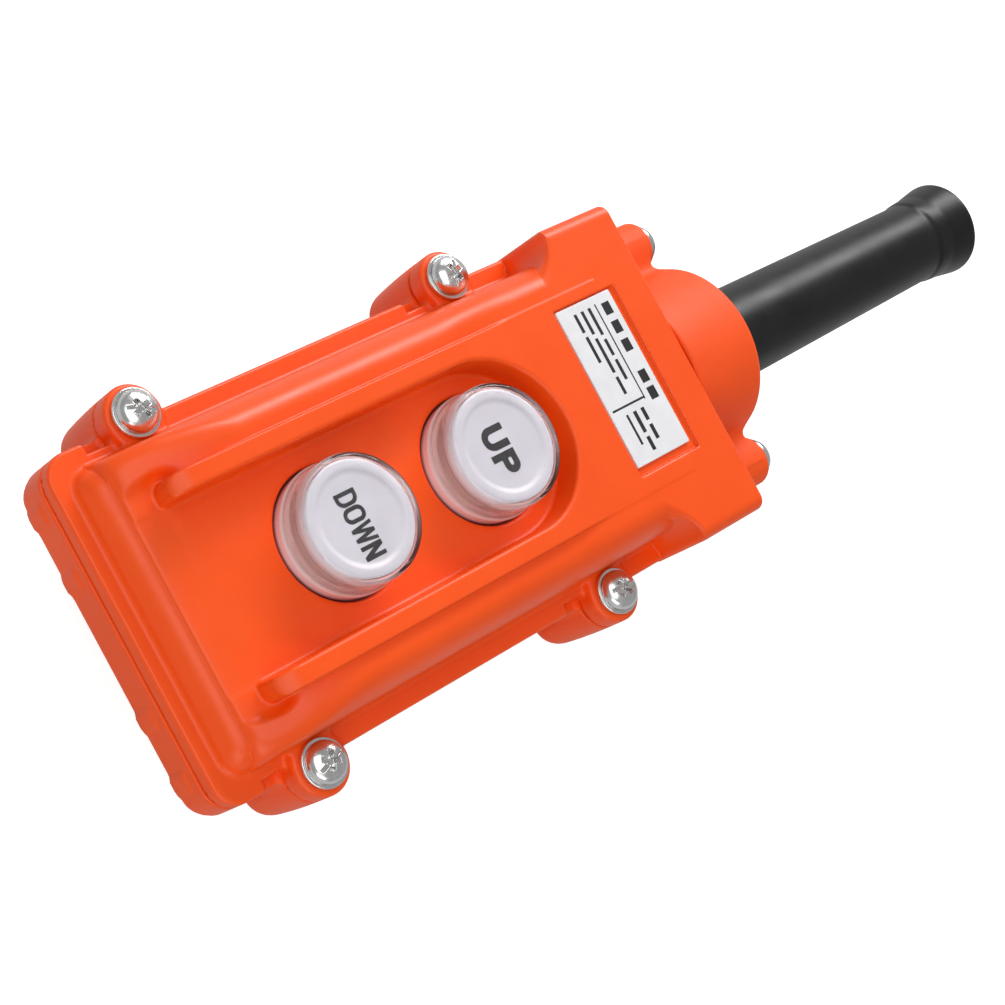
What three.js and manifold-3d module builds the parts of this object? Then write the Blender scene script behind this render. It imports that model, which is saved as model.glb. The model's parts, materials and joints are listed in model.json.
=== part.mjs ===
// Pendant control station with an UP and a DOWN push button, lying on its back.
// Millimetres. +Z comes out of the front face, +Y runs towards the cable, +X is to the right
// with the cable end up. The origin is the middle of the base of the bounding box.
import * as THREE from 'three';
import { mergeVertices } from 'three/addons/utils/BufferGeometryUtils.js';
import Module from 'manifold-3d';

const wasm = await Module();
wasm.setup();

// ---- driving dimensions -------------------------------------------------------------------
const LENGTH = 230;              // bottom end of the housing to the end of the cable sleeve
const END_Y = -LENGTH / 2;       // bottom end
const FIT = 0.3;                 // gap between neighbouring pieces
const SEAT = 0.1;                // gap between faces that are clamped together

const PARTING_Z = 32.3;          // top face of the rear housing
const FLANGE_TOP_Z = 35.4;       // top of the cover's flange
const LUG_TOP_Z = 37;            // where the washers sit
const FLOOR_Z = 42.3;            // floor of the trough that the buttons stand in
const HEAD_TOP_Z = 49.4;         // front face of the wide head at the cable end
const RIM_BOTTOM_Z = 24.6;       // under the housing's rim
const NECK_Z = 31.3;             // height of the cable's axis

const FLANGE_HALF = 32.6;        // half width of rim and flange
const BODY_HALF = 28.5;          // half width of the raised body
const RIM_Y = END_Y + 0.8;       // end face of the rim, behind its small ribs
const CORNER_R = 5;              // plan corners of rim and flange
const HEAD_START_Y = END_Y + 108.8;       // where the head has its full width
const HEAD_END_Y = END_Y + 126.8;
const GLAND_END_Y = END_Y + 145.4;
const SLEEVE_END_Y = LENGTH / 2;
const WALL = 2.6;
const SHOULDER_Z = 48.2;         // top of the body beside the ribs
const ROOF_Z = 45.2;             // highest point inside the body

const SCREW_X = 33.25;
const SCREW_Y = [END_Y + 20.4, END_Y + 93.5];
const LUG_R = 5.6;
const LUG_BOTTOM_Z = 13;
const LUG_WEB_HALF = 4.6;
const NOTCH_X = 30.6;            // inner edge of the notch in the flange beside each lug
const NOTCH = 10.5;              // how far it runs from the screw
const INSERT_R = 2.6;
const INSERT_BORE_R = 2.05;
const SCREW_R = 1.9;
const SCREW_HEAD_R = 3.9;
const SCREW_LENGTH = 21;
const SCREW_HOLE_R = 2.3;
const WASHER = 0.9;              // thickness
const WASHER_R = 4.5;
const WASHER_BORE_R = 2.15;
const GLAND_SCREW_LENGTH = 23;
const GLAND_HEAD_R = 3.8;
const GLAND_WASHER_R = 4.3;
const SMALL_SCREW_R = 1.45;
const SMALL_HOLE_R = 1.7;

const BUTTON_Y = { down: END_Y + 41.8, up: END_Y + 76.3 };
const TRAVEL = 4;                // stroke of each button
const CAP_R = 10.6;
const CAP_TOP_Z = 50.3;
const CAP_HEIGHT = 6.8;
const CAP_SKIN = 2.6;            // thickness over the socket for the plunger
const HOLE_R = 12.4;
const BOOT_R = 11.7;
const BOOT_WALL = 0.8;
const BOOT_FLANGE_R = 14.6;
const BOOT_FLANGE = 1.2;
const STEM_R = 3;

const TROUGH_HALF = 16.4;
const RIB_OUTER = 20.4;
const RIB_START_Y = END_Y + 13.8;
const CREASE_Y = END_Y + 21.9;          // where the trough's floor starts to slope down

const NECK_R = 18.3;
const EAR_X = 24.5;
const EAR_R = 5.1;
const SLEEVE_R = 9.75;           // where it leaves the gland; it tapers towards its mouth
const SLEEVE_TIP_R = 8.85;
const SLEEVE_ROOT = 4.3;         // length of the sleeve inside the housing
const SLEEVE_BORE_R = 6.2;
const SLEEVE_FLANGE_R = 13.5;
const SLEEVE_FLANGE = 3.3;

const LABEL = { x: -1.2, y: END_Y + 109.6, width: 32.6, height: 14.6, thick: 0.6 };

const BLOCK = { half: 20.5, y0: END_Y + 29.5, y1: END_Y + 89.5, z0: 3, z1: 22.5 };
const WELL_R = 6;
const WELL_BOTTOM_Z = 6;
const BRIDGE_Z = 29;             // underside of a contact bridge at rest
const BRIDGE_THICK = 1.2;
const CONTACT_Z = BLOCK.z1 + FIT;
const CONTACT_THICK = 1.2;
const TERMINAL_X = 16.5;
const BLOCK_SCREW_X = 14;
const MIDDLE_Y = (BUTTON_Y.up + BUTTON_Y.down) / 2;
const SPRING_R = 4.2;
const SPRING_TURNS = 5;
const WIRE_R = 0.45;
const CLAMP = { y: END_Y + 109.5, width: 8, postX: 13.5, postTop: 24 };

// ---- materials ------------------------------------------------------------------------------
const paint = (color, roughness, metalness = 0) =>
  new THREE.MeshStandardMaterial({ color, roughness, metalness });
const ORANGE = paint(0xf25a24, 0.38);
const BLACK_RUBBER = paint(0x1b1b1d, 0.55);
const GREY_RUBBER = paint(0x3c3c3e, 0.7);
const STEEL = paint(0xc9ccd0, 0.25, 1);
const BRASS = paint(0xc9a45a, 0.3, 1);
const WHITE = paint(0xe9e9f0, 0.35);
const CLEAR = paint(0xf3dedd, 0.15);
const BLOCK_BLACK = paint(0x2a2b2e, 0.5);

// ---- helpers --------------------------------------------------------------------------------
const group = new THREE.Group();

function add(name, geometry, material) {
  const mesh = new THREE.Mesh(geometry, material);
  mesh.name = name;
  group.add(mesh);
}

function toSolid(geometry) {
  const bare = geometry.clone();
  bare.deleteAttribute('normal');
  bare.deleteAttribute('uv');
  const merged = mergeVertices(bare, 1e-4);
  const index = merged.index.array;
  const faces = [];
  for (let i = 0; i < index.length; i += 3) {
    const [a, b, c] = [index[i], index[i + 1], index[i + 2]];
    if (a !== b && b !== c && c !== a) faces.push(a, b, c);
  }
  const vertProperties = new Float32Array(merged.attributes.position.array);
  const triVerts = new Uint32Array(faces);
  return new wasm.Manifold(new wasm.Mesh({ numProp: 3, vertProperties, triVerts }));
}

function toGeometry(solid) {
  const mesh = solid.getMesh();
  const geometry = new THREE.BufferGeometry();
  geometry.setAttribute('position', new THREE.BufferAttribute(mesh.vertProperties, 3));
  geometry.setIndex(new THREE.BufferAttribute(mesh.triVerts, 1));
  return geometry;
}

const join = (...solids) => solids.reduce((sum, next) => sum.add(next));
const cut = (solid, ...tools) => tools.reduce((left, tool) => left.subtract(tool), solid);
const common = (...solids) => solids.reduce((left, next) => left.intersect(next));

function outline(points) {
  return new THREE.Shape(points.map(([a, b]) => new THREE.Vector2(a, b)));
}

function roundedRect(x0, y0, x1, y1, r) {
  const shape = new THREE.Shape();
  shape.moveTo(x0 + r, y0);
  shape.lineTo(x1 - r, y0);
  shape.absarc(x1 - r, y0 + r, r, -Math.PI / 2, 0, false);
  shape.lineTo(x1, y1 - r);
  shape.absarc(x1 - r, y1 - r, r, 0, Math.PI / 2, false);
  shape.lineTo(x0 + r, y1);
  shape.absarc(x0 + r, y1 - r, r, Math.PI / 2, Math.PI, false);
  shape.lineTo(x0, y0 + r);
  shape.absarc(x0 + r, y0 + r, r, Math.PI, Math.PI * 1.5, false);
  return shape;
}

// A shape drawn in X and Y, standing from z0 to z1.
function alongZ(shape, z0, z1, curveSegments = 4) {
  const geometry = new THREE.ExtrudeGeometry(shape, { depth: z1 - z0, bevelEnabled: false, curveSegments });
  return geometry.translate(0, 0, z0);
}

// A shape drawn in X and Z, running from y0 to y1.
function alongY(shape, y0, y1, curveSegments = 4) {
  const geometry = new THREE.ExtrudeGeometry(shape, { depth: y1 - y0, bevelEnabled: false, curveSegments });
  return geometry.rotateX(Math.PI / 2).translate(0, y1, 0);
}

// A shape drawn in Y and Z, running from x0 to x1.
function alongX(shape, x0, x1, curveSegments = 4) {
  const geometry = new THREE.ExtrudeGeometry(shape, { depth: x1 - x0, bevelEnabled: false, curveSegments });
  const turn = new THREE.Matrix4().makeBasis(
    new THREE.Vector3(0, 1, 0), new THREE.Vector3(0, 0, 1), new THREE.Vector3(1, 0, 0));
  return geometry.applyMatrix4(turn).translate(x0, 0, 0);
}

function block(x0, x1, y0, y1, z0, z1) {
  const geometry = new THREE.BoxGeometry(x1 - x0, y1 - y0, z1 - z0);
  return geometry.translate((x0 + x1) / 2, (y0 + y1) / 2, (z0 + z1) / 2);
}

// A profile of [radius, height] points turned about a line along Z through (x, y).
function turnedZ(profile, x, y, segments = 24) {
  const points = profile.map(([r, z]) => new THREE.Vector2(r, z));
  return new THREE.LatheGeometry(points, segments).rotateX(Math.PI / 2).translate(x, y, 0);
}

// A profile of [radius, y] points turned about a line along Y through (x, z).
function turnedY(profile, x, z, segments = 24) {
  const points = profile.map(([r, y]) => new THREE.Vector2(r, y));
  return new THREE.LatheGeometry(points, segments).translate(x, 0, z);
}

function rod(x, y, z0, z1, r, segments = 20) {
  return turnedZ([[0, z0], [r, z0], [r, z1], [0, z1]], x, y, segments);
}

function rodY(x, z, y0, y1, r, segments = 20) {
  return turnedY([[0, y0], [r, y0], [r, y1], [0, y1]], x, z, segments);
}

function ring(x, y, z0, z1, inner, outer, segments = 20) {
  return turnedZ([[inner, z0], [outer, z0], [outer, z1], [inner, z1], [inner, z0]], x, y, segments);
}

function bothSides(make) {
  return join(toSolid(make(-1)), toSolid(make(1)));
}

const lugPlaces = SCREW_Y.flatMap((y) => [[-SCREW_X, y], [SCREW_X, y]]);

// ---- rear housing ---------------------------------------------------------------------------
// Side outline of the tub, with the long slope at its bottom end, shrunk inwards by inset.
function tubSide(inset, top) {
  return outline([
    [END_Y + 2 + 1.3 * inset, top], [END_Y + 2.9 + 1.3 * inset, RIM_BOTTOM_Z],
    [END_Y + 20 + inset, 2.5 + inset], [END_Y + 23.5 + inset, inset],
    [HEAD_END_Y - 4.1 - inset, inset], [HEAD_END_Y - SEAT - inset, 4], [HEAD_END_Y - SEAT - inset, top],
  ]);
}

// Cross-section of the tub with drafted walls and rounded bottom edges.
function tubSection(inset, top) {
  const half = 30.8 - inset;
  const shape = new THREE.Shape();
  shape.moveTo(-half, top);
  shape.lineTo(-half + 1.6, 6 + inset / 2);
  shape.quadraticCurveTo(-half + 2, inset, -half + 8, inset);
  shape.lineTo(half - 8, inset);
  shape.quadraticCurveTo(half - 2, inset, half - 1.6, 6 + inset / 2);
  shape.lineTo(half, top);
  return shape;
}

function lugColumn(x, y) {
  const profile = [[0, LUG_BOTTOM_Z], [2.6, LUG_BOTTOM_Z + 0.3], [4.4, LUG_BOTTOM_Z + 3],
    [LUG_R - 0.3, LUG_BOTTOM_Z + 10], [LUG_R, PARTING_Z], [0, PARTING_Z]];
  return toSolid(turnedZ(profile, x, y, 16));
}

function lugWeb(x, y) {
  const inner = Math.sign(x) * 28.9;
  const [x0, x1] = x < 0 ? [x, inner] : [inner, x];
  return toSolid(block(x0, x1, y - 3.6, y + 3.6, LUG_BOTTOM_Z + 4, PARTING_Z));
}

function rearHousing() {
  const rim = toSolid(alongZ(
    roundedRect(-FLANGE_HALF, RIM_Y, FLANGE_HALF, HEAD_END_Y - SEAT, CORNER_R), RIM_BOTTOM_Z, PARTING_Z));
  const tub = common(
    toSolid(alongX(tubSide(0, PARTING_Z - 1), -40, 40)),
    toSolid(alongY(tubSection(0, PARTING_Z - 1), END_Y, HEAD_END_Y)));
  const hollow = common(
    toSolid(alongX(tubSide(WALL, PARTING_Z + 5), -40, 40)),
    toSolid(alongY(tubSection(WALL, PARTING_Z + 5), END_Y, HEAD_END_Y)));
  const bulkheadHalf = FLANGE_HALF - WALL - FIT;
  const bulkhead = toSolid(alongY(
    roundedRect(-bulkheadHalf, 20, bulkheadHalf, HEAD_TOP_Z - WALL - FIT, 5),
    HEAD_END_Y - WALL - 0.4, HEAD_END_Y - SEAT));
  const endRibs = [-25, -13, 13, 25].map((x) =>
    toSolid(block(x - 1.6, x + 1.6, END_Y, RIM_Y + 1, RIM_BOTTOM_Z, RIM_BOTTOM_Z + 5)));
  const posts = bothSides((side) => block(
    side * CLAMP.postX - 3.5, side * CLAMP.postX + 3.5,
    CLAMP.y - CLAMP.width / 2, CLAMP.y + CLAMP.width / 2, 1, CLAMP.postTop));
  const bosses = bothSides((side) => rodY(side * EAR_X, NECK_Z, HEAD_END_Y - 9, HEAD_END_Y - SEAT, 4.6, 12));
  const shell = join(
    cut(join(rim, tub, ...endRibs), hollow), bulkhead, posts, bosses,
    ...lugPlaces.map(([x, y]) => lugColumn(x, y)), ...lugPlaces.map(([x, y]) => lugWeb(x, y)));
  return cut(
    shell,
    toSolid(rodY(0, NECK_Z, HEAD_START_Y, GLAND_END_Y, SLEEVE_R + FIT, 24)),
    toSolid(alongZ(gasketShape(0.2), PARTING_Z - 1.1, PARTING_Z + 1)),
    bothSides((side) => rodY(side * EAR_X, NECK_Z, HEAD_END_Y - 8, GLAND_END_Y, INSERT_R + SEAT, 12)),
    bothSides((side) => rod(side * CLAMP.postX, CLAMP.y, 10, 30, SMALL_HOLE_R, 8)),
    bothSides((side) => rod(side * BLOCK_SCREW_X, MIDDLE_Y, 0.9, 5, SMALL_HOLE_R, 8)),
    ...lugPlaces.map(([x, y]) => toSolid(rod(x, y, 15, 40, INSERT_R + SEAT, 12))));
}

// ---- cover seal -----------------------------------------------------------------------------
// A band that follows the rim on three sides, grown by extra on each side.
function gasketShape(extra) {
  const out = 30.1 + extra;
  const inn = 28.9 - extra;
  const y0 = RIM_Y + FLANGE_HALF - out;
  const y1 = RIM_Y + FLANGE_HALF - inn;
  const top = HEAD_END_Y - 9.3 + extra;
  const shape = new THREE.Shape();
  shape.moveTo(-out, top);
  shape.lineTo(-out, y0 + 4);
  shape.absarc(-out + 4, y0 + 4, 4, Math.PI, Math.PI * 1.5, false);
  shape.lineTo(out - 4, y0);
  shape.absarc(out - 4, y0 + 4, 4, -Math.PI / 2, 0, false);
  shape.lineTo(out, top);
  shape.lineTo(inn, top);
  shape.lineTo(inn, y1 + 2.5);
  shape.absarc(inn - 2.5, y1 + 2.5, 2.5, 0, -Math.PI / 2, true);
  shape.lineTo(-inn + 2.5, y1);
  shape.absarc(-inn + 2.5, y1 + 2.5, 2.5, -Math.PI / 2, -Math.PI, true);
  shape.lineTo(-inn, top);
  return shape;
}

// ---- front cover ----------------------------------------------------------------------------
function bodySection() {
  const shape = new THREE.Shape();
  shape.moveTo(-BODY_HALF, FLANGE_TOP_Z - 1);
  shape.lineTo(-BODY_HALF + 0.7, 41.5);
  shape.quadraticCurveTo(-BODY_HALF + 1.2, SHOULDER_Z - 0.6, -RIB_OUTER, SHOULDER_Z);
  shape.lineTo(RIB_OUTER, SHOULDER_Z);
  shape.quadraticCurveTo(BODY_HALF - 1.2, SHOULDER_Z - 0.6, BODY_HALF - 0.7, 41.5);
  shape.lineTo(BODY_HALF, FLANGE_TOP_Z - 1);
  return shape;
}

// Side outline of the raised body: a low rounded nose, then a ramp up to the shoulders.
function bodySide() {
  const shape = new THREE.Shape();
  shape.moveTo(END_Y + 4.1, FLANGE_TOP_Z - 1);
  shape.lineTo(END_Y + 4.9, 38.6);
  shape.quadraticCurveTo(END_Y + 5.5, 40.8, END_Y + 8.5, 41.4);
  shape.lineTo(END_Y + 14.5, 42.6);
  shape.quadraticCurveTo(END_Y + 19, 44, END_Y + 21.5, SHOULDER_Z);
  shape.lineTo(HEAD_START_Y, SHOULDER_Z);
  shape.lineTo(HEAD_START_Y, FLANGE_TOP_Z - 1);
  return shape;
}

// Plan of the body: parallel sides, then a hollow sweep out to the full width of the head.
function headPlan() {
  const shape = new THREE.Shape();
  const flareY = HEAD_START_Y - 11.3;
  shape.moveTo(-BODY_HALF + 1, flareY);
  shape.quadraticCurveTo(-BODY_HALF + 0.5, HEAD_START_Y - 1.5, -FLANGE_HALF, HEAD_START_Y);
  shape.lineTo(-FLANGE_HALF, HEAD_END_Y - 1.5);
  shape.quadraticCurveTo(-FLANGE_HALF, HEAD_END_Y, -FLANGE_HALF + 1.5, HEAD_END_Y);
  shape.lineTo(FLANGE_HALF - 1.5, HEAD_END_Y);
  shape.quadraticCurveTo(FLANGE_HALF, HEAD_END_Y, FLANGE_HALF, HEAD_END_Y - 1.5);
  shape.lineTo(FLANGE_HALF, HEAD_START_Y);
  shape.quadraticCurveTo(BODY_HALF - 0.5, HEAD_START_Y - 1.5, BODY_HALF - 1, flareY);
  return shape;
}

function ribSide() {
  const shape = new THREE.Shape();
  shape.moveTo(RIB_START_Y, FLOOR_Z - 3);
  shape.lineTo(RIB_START_Y + 0.4, 43.4);
  shape.quadraticCurveTo(RIB_START_Y + 2.5, 46.5, CREASE_Y + 1, HEAD_TOP_Z - 0.4);
  shape.lineTo(HEAD_START_Y - 7, HEAD_TOP_Z - 0.1);
  shape.lineTo(HEAD_START_Y - 7, FLOOR_Z - 3);
  return shape;
}

function troughCut() {
  const plan = new THREE.Shape();
  plan.moveTo(TROUGH_HALF, END_Y - 2);
  plan.lineTo(TROUGH_HALF, BUTTON_Y.up);
  plan.absarc(0, BUTTON_Y.up, TROUGH_HALF, 0, Math.PI, false);
  plan.lineTo(-TROUGH_HALF, END_Y - 2);
  const floor = outline([
    [END_Y - 2, 38.4], [END_Y + 7, 39.9], [CREASE_Y, FLOOR_Z], [HEAD_END_Y, FLOOR_Z],
    [HEAD_END_Y, 60], [END_Y - 2, 60]]);
  return common(toSolid(alongZ(plan, 30, 60, 12)), toSolid(alongX(floor, -20, 20)));
}

// The hollow under the body: full height beside the trough, low under its floor.
function coverHollow() {
  const half = BODY_HALF - WALL;
  const under = FLOOR_Z - WALL;
  const side = TROUGH_HALF + WALL;
  const section = outline([
    [-half, 30], [half, 30], [half - 0.6, 42], [half - 3.4, ROOF_Z], [side, ROOF_Z], [side, under],
    [-side, under], [-side, ROOF_Z], [-half + 3.4, ROOF_Z], [-half + 0.6, 42]]);
  const sideLine = outline([
    [END_Y + 7.5, 30], [END_Y + 8.1, 36.6], [END_Y + 14.5, 37.4], [END_Y + 18.5, 39.4],
    [END_Y + 23.5, ROOF_Z], [HEAD_START_Y - 7, ROOF_Z], [HEAD_START_Y - 7, 30]]);
  const body = common(toSolid(alongY(section, END_Y, HEAD_START_Y - 7)), toSolid(alongX(sideLine, -40, 40)));
  const inner = FLANGE_HALF - WALL;
  const front = roundedRect(-inner, 28, inner, HEAD_TOP_Z - WALL, 5);
  const headTop = toSolid(alongY(front, HEAD_START_Y + 2.5, HEAD_END_Y + 2));
  const headLow = toSolid(block(
    -half + 1, half - 1, HEAD_START_Y - 12.8, HEAD_START_Y + 4, 30, HEAD_TOP_Z - WALL - 1));
  return join(body, headTop, headLow);
}

function frontCover() {
  const flange = toSolid(alongZ(
    roundedRect(-FLANGE_HALF, RIM_Y, FLANGE_HALF, HEAD_END_Y, CORNER_R), PARTING_Z + FIT, FLANGE_TOP_Z));
  const body = common(
    toSolid(alongY(bodySection(), END_Y, HEAD_START_Y)), toSolid(alongX(bodySide(), -30, 30)));
  const head = common(
    toSolid(alongZ(headPlan(), PARTING_Z + 1, HEAD_TOP_Z)),
    toSolid(alongY(
      roundedRect(-FLANGE_HALF, 20, FLANGE_HALF, HEAD_TOP_Z, 3.5), HEAD_START_Y - 15, HEAD_END_Y + 5)));
  const ribs = join(
    toSolid(alongX(ribSide(), TROUGH_HALF - 0.5, RIB_OUTER)),
    toSolid(alongX(ribSide(), -RIB_OUTER, -TROUGH_HALF + 0.5)));
  const notches = lugPlaces.map(([x, y]) => toSolid(block(
    x < 0 ? -40 : NOTCH_X, x < 0 ? -NOTCH_X : 40, y - NOTCH, y, PARTING_Z - 1, FLANGE_TOP_Z + 1)));
  const lugs = lugPlaces.map(([x, y]) => join(
    toSolid(rod(x, y, PARTING_Z + FIT, LUG_TOP_Z, LUG_R, 16)),
    toSolid(block(
      x < 0 ? x : BODY_HALF - 1, x < 0 ? 1 - BODY_HALF : x,
      y - LUG_WEB_HALF, y + LUG_WEB_HALF, PARTING_Z + FIT, LUG_TOP_Z))));
  const collars = Object.values(BUTTON_Y).map((y) => toSolid(ring(
    0, y, FLOOR_Z - WALL - 3.2, FLOOR_Z - WALL + 0.5, BOOT_FLANGE_R + FIT, BOOT_FLANGE_R + 1.8, 24)));
  const outer = join(cut(flange, ...notches), body, head, ribs, ...lugs);
  const hollowed = cut(outer, troughCut(), coverHollow());
  const holes = Object.values(BUTTON_Y).map((y) => toSolid(rod(0, y, 36, 60, HOLE_R, 28)));
  const labelSeat = toSolid(block(
    LABEL.x - LABEL.width / 2 - FIT, LABEL.x + LABEL.width / 2 + 1.6,
    LABEL.y - LABEL.height / 2 - FIT, LABEL.y + LABEL.height / 2 + 1.6,
    HEAD_TOP_Z - LABEL.thick - SEAT, HEAD_TOP_Z + 1));
  return cut(
    join(hollowed, ...collars), ...holes, labelSeat,
    ...lugPlaces.map(([x, y]) => toSolid(rod(x, y, 30, 40, SCREW_HOLE_R, 10))));
}

// ---- cable gland ----------------------------------------------------------------------------
function glandCap() {
  const y0 = HEAD_END_Y + FIT;
  const neck = [[0, y0], [NECK_R, y0], [NECK_R, GLAND_END_Y - 1.2], [NECK_R - 0.4, GLAND_END_Y - 0.4],
    [NECK_R - 1.2, GLAND_END_Y], [0, GLAND_END_Y]];
  const ear = [[0, y0], [EAR_R, y0], [EAR_R, GLAND_END_Y - 0.6], [EAR_R - 0.6, GLAND_END_Y],
    [0, GLAND_END_Y]];
  const body = join(
    toSolid(turnedY(neck, 0, NECK_Z, 32)),
    bothSides((side) => turnedY(ear, side * EAR_X, NECK_Z, 16)),
    toSolid(block(-EAR_X, EAR_X, y0, GLAND_END_Y - 2, NECK_Z - 4.6, NECK_Z + 4.6)));
  return cut(
    body,
    toSolid(rodY(0, NECK_Z, HEAD_START_Y, SLEEVE_END_Y, SLEEVE_R + FIT, 24)),
    toSolid(rodY(0, NECK_Z, HEAD_START_Y, y0 + SLEEVE_FLANGE + FIT, SLEEVE_FLANGE_R + FIT, 24)),
    bothSides((side) => rodY(side * EAR_X, NECK_Z, HEAD_START_Y, SLEEVE_END_Y, SCREW_HOLE_R, 10)));
}

// A rubber tube with a clamped flange, a bead and a flared mouth.
function cableSleeve() {
  const flange0 = HEAD_END_Y + FIT;
  const flange1 = flange0 + SLEEVE_FLANGE;
  const end = SLEEVE_END_Y;
  const root = HEAD_END_Y - SLEEVE_ROOT;
  return turnedY([
    [SLEEVE_BORE_R, root], [SLEEVE_R, root], [SLEEVE_R, flange0], [SLEEVE_FLANGE_R, flange0],
    [SLEEVE_FLANGE_R, flange1], [SLEEVE_R, flange1], [SLEEVE_R, GLAND_END_Y],
    [SLEEVE_TIP_R, end - 11.6], [SLEEVE_TIP_R + 0.5, end - 10.8], [SLEEVE_TIP_R + 0.6, end - 8.2],
    [SLEEVE_TIP_R + 0.35, end - 7.4], [SLEEVE_TIP_R + 0.75, end - 6.4],
    [SLEEVE_TIP_R + 1.6, end - 1], [SLEEVE_TIP_R + 1.6, end - 0.4], [SLEEVE_TIP_R + 1.2, end],
    [SLEEVE_BORE_R + 0.8, end], [SLEEVE_BORE_R, end - 1], [SLEEVE_BORE_R, root],
  ], 0, NECK_Z, 24);
}

// ---- fasteners ------------------------------------------------------------------------------
// A pan-head screw standing on seatZ, with a crossed recess in its head.
function panScrew(x, y, seatZ, length, r, headR) {
  const h = headR * 0.62;
  const body = toSolid(turnedZ([
    [0, seatZ - length], [r * 0.7, seatZ - length], [r, seatZ - length + 0.8], [r, seatZ],
    [headR, seatZ], [headR, seatZ + h * 0.45], [headR * 0.82, seatZ + h * 0.85], [0, seatZ + h],
  ], x, y, 12));
  const reach = headR * 0.55;
  const slot = headR * 0.13;
  return cut(
    body,
    toSolid(block(x - reach, x + reach, y - slot, y + slot, seatZ + h * 0.45, seatZ + h + 1)),
    toSolid(block(x - slot, x + slot, y - reach, y + reach, seatZ + h * 0.45, seatZ + h + 1)));
}

// Turns a piece made about the line x = 0, y = 0 so that its +Z becomes +Y at (x, z).
function facingY(geometry, x, z) {
  return geometry.rotateZ(Math.PI / 4).rotateX(-Math.PI / 2).translate(x, 0, z);
}

function coverFasteners() {
  lugPlaces.forEach(([x, y], i) => {
    const seat = LUG_TOP_Z + SEAT;
    add(`cover_washer_${i + 1}`, ring(x, y, seat, seat + WASHER, WASHER_BORE_R, WASHER_R, 16), STEEL);
    add(`cover_screw_${i + 1}`, toGeometry(
      panScrew(x, y, seat + WASHER + SEAT, SCREW_LENGTH, SCREW_R, SCREW_HEAD_R)), STEEL);
    add(`threaded_insert_${i + 1}`, ring(x, y, 21, PARTING_Z - 0.2, INSERT_BORE_R, INSERT_R, 10), BRASS);
  });
}

function glandFasteners() {
  [-1, 1].forEach((side, i) => {
    const seat = GLAND_END_Y + SEAT;
    add(`gland_washer_${i + 1}`,
      facingY(ring(0, 0, seat, seat + WASHER, WASHER_BORE_R, GLAND_WASHER_R, 16),
        side * EAR_X, NECK_Z), STEEL);
    add(`gland_screw_${i + 1}`, facingY(toGeometry(
      panScrew(0, 0, seat + WASHER + SEAT, GLAND_SCREW_LENGTH, SCREW_R, GLAND_HEAD_R)),
    side * EAR_X, NECK_Z), STEEL);
    add(`gland_insert_${i + 1}`, facingY(
      ring(0, 0, HEAD_END_Y - 7.3, HEAD_END_Y - 0.4, INSERT_BORE_R, INSERT_R, 10),
      side * EAR_X, NECK_Z), BRASS);
  });
}

// ---- contact block and cable clamp ----------------------------------------------------------
function contactBlock() {
  const { half, y0, y1, z0, z1 } = BLOCK;
  const body = toSolid(alongZ(roundedRect(-half, y0, half, y1, 2.5), z0, z1));
  const wells = Object.values(BUTTON_Y).map((y) => toSolid(rod(0, y, WELL_BOTTOM_Z, 40, WELL_R, 16)));
  const terminals = Object.values(BUTTON_Y).map((y) =>
    bothSides((side) => rod(side * TERMINAL_X, y, 13.5, 40, SMALL_HOLE_R, 8)));
  const gap = toSolid(block(-half - 1, half + 1, MIDDLE_Y - 2, MIDDLE_Y + 2, 17, 40));
  return cut(
    body, ...wells, ...terminals, gap,
    bothSides((side) => rod(side * BLOCK_SCREW_X, MIDDLE_Y, 0, 40, SMALL_HOLE_R, 8)),
    bothSides((side) => rod(side * BLOCK_SCREW_X, MIDDLE_Y, 8, 40, 3.4, 12)));
}

function fixedContact(side, y) {
  const [x0, x1] = side < 0 ? [-19.5, -7.5] : [7.5, 19.5];
  const strip = join(
    toSolid(block(x0, x1, y - 3.5, y + 3.5, CONTACT_Z, CONTACT_Z + CONTACT_THICK)),
    toSolid(rod(side * 9.6, y, CONTACT_Z + 1, BRIDGE_Z - TRAVEL - FIT, 1.8, 12)));
  return cut(strip, toSolid(rod(side * TERMINAL_X, y, 0, 40, SMALL_HOLE_R, 8)));
}

function contactParts() {
  add('contact_block', toGeometry(contactBlock()), BLOCK_BLACK);
  [-1, 1].forEach((side, i) => {
    add(`block_screw_${i + 1}`,
      toGeometry(panScrew(side * BLOCK_SCREW_X, MIDDLE_Y, 8.2, 7, SMALL_SCREW_R, 2.8)), STEEL);
  });
  for (const [name, y] of Object.entries(BUTTON_Y)) {
    [-1, 1].forEach((side, i) => {
      add(`${name}_fixed_contact_${i + 1}`, toGeometry(fixedContact(side, y)), BRASS);
      add(`${name}_terminal_screw_${i + 1}`,
        toGeometry(panScrew(
          side * TERMINAL_X, y, CONTACT_Z + CONTACT_THICK + 0.2, 9.5, SMALL_SCREW_R, 2.6)), STEEL);
    });
  }
}

// A strap bent over the cable, with a flat foot on each side.
function cableClamp() {
  const { y, width, postX, postTop } = CLAMP;
  const foot = postTop + SEAT;
  const strap = new THREE.Shape();
  strap.moveTo(-postX - 3.4, foot);
  strap.lineTo(-7.2, foot);
  strap.lineTo(-7.2, NECK_Z);
  strap.absarc(0, NECK_Z, 7.2, Math.PI, 0, true);
  strap.lineTo(7.2, foot);
  strap.lineTo(postX + 3.4, foot);
  strap.lineTo(postX + 3.4, foot + 1.6);
  strap.lineTo(8.8, foot + 1.6);
  strap.lineTo(8.8, NECK_Z);
  strap.absarc(0, NECK_Z, 8.8, 0, Math.PI, false);
  strap.lineTo(-8.8, foot + 1.6);
  strap.lineTo(-postX - 3.4, foot + 1.6);
  return cut(
    toSolid(alongY(strap, y - width / 2, y + width / 2, 7)),
    bothSides((side) => rod(side * postX, y, 0, 40, 1.8, 8)));
}

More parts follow.
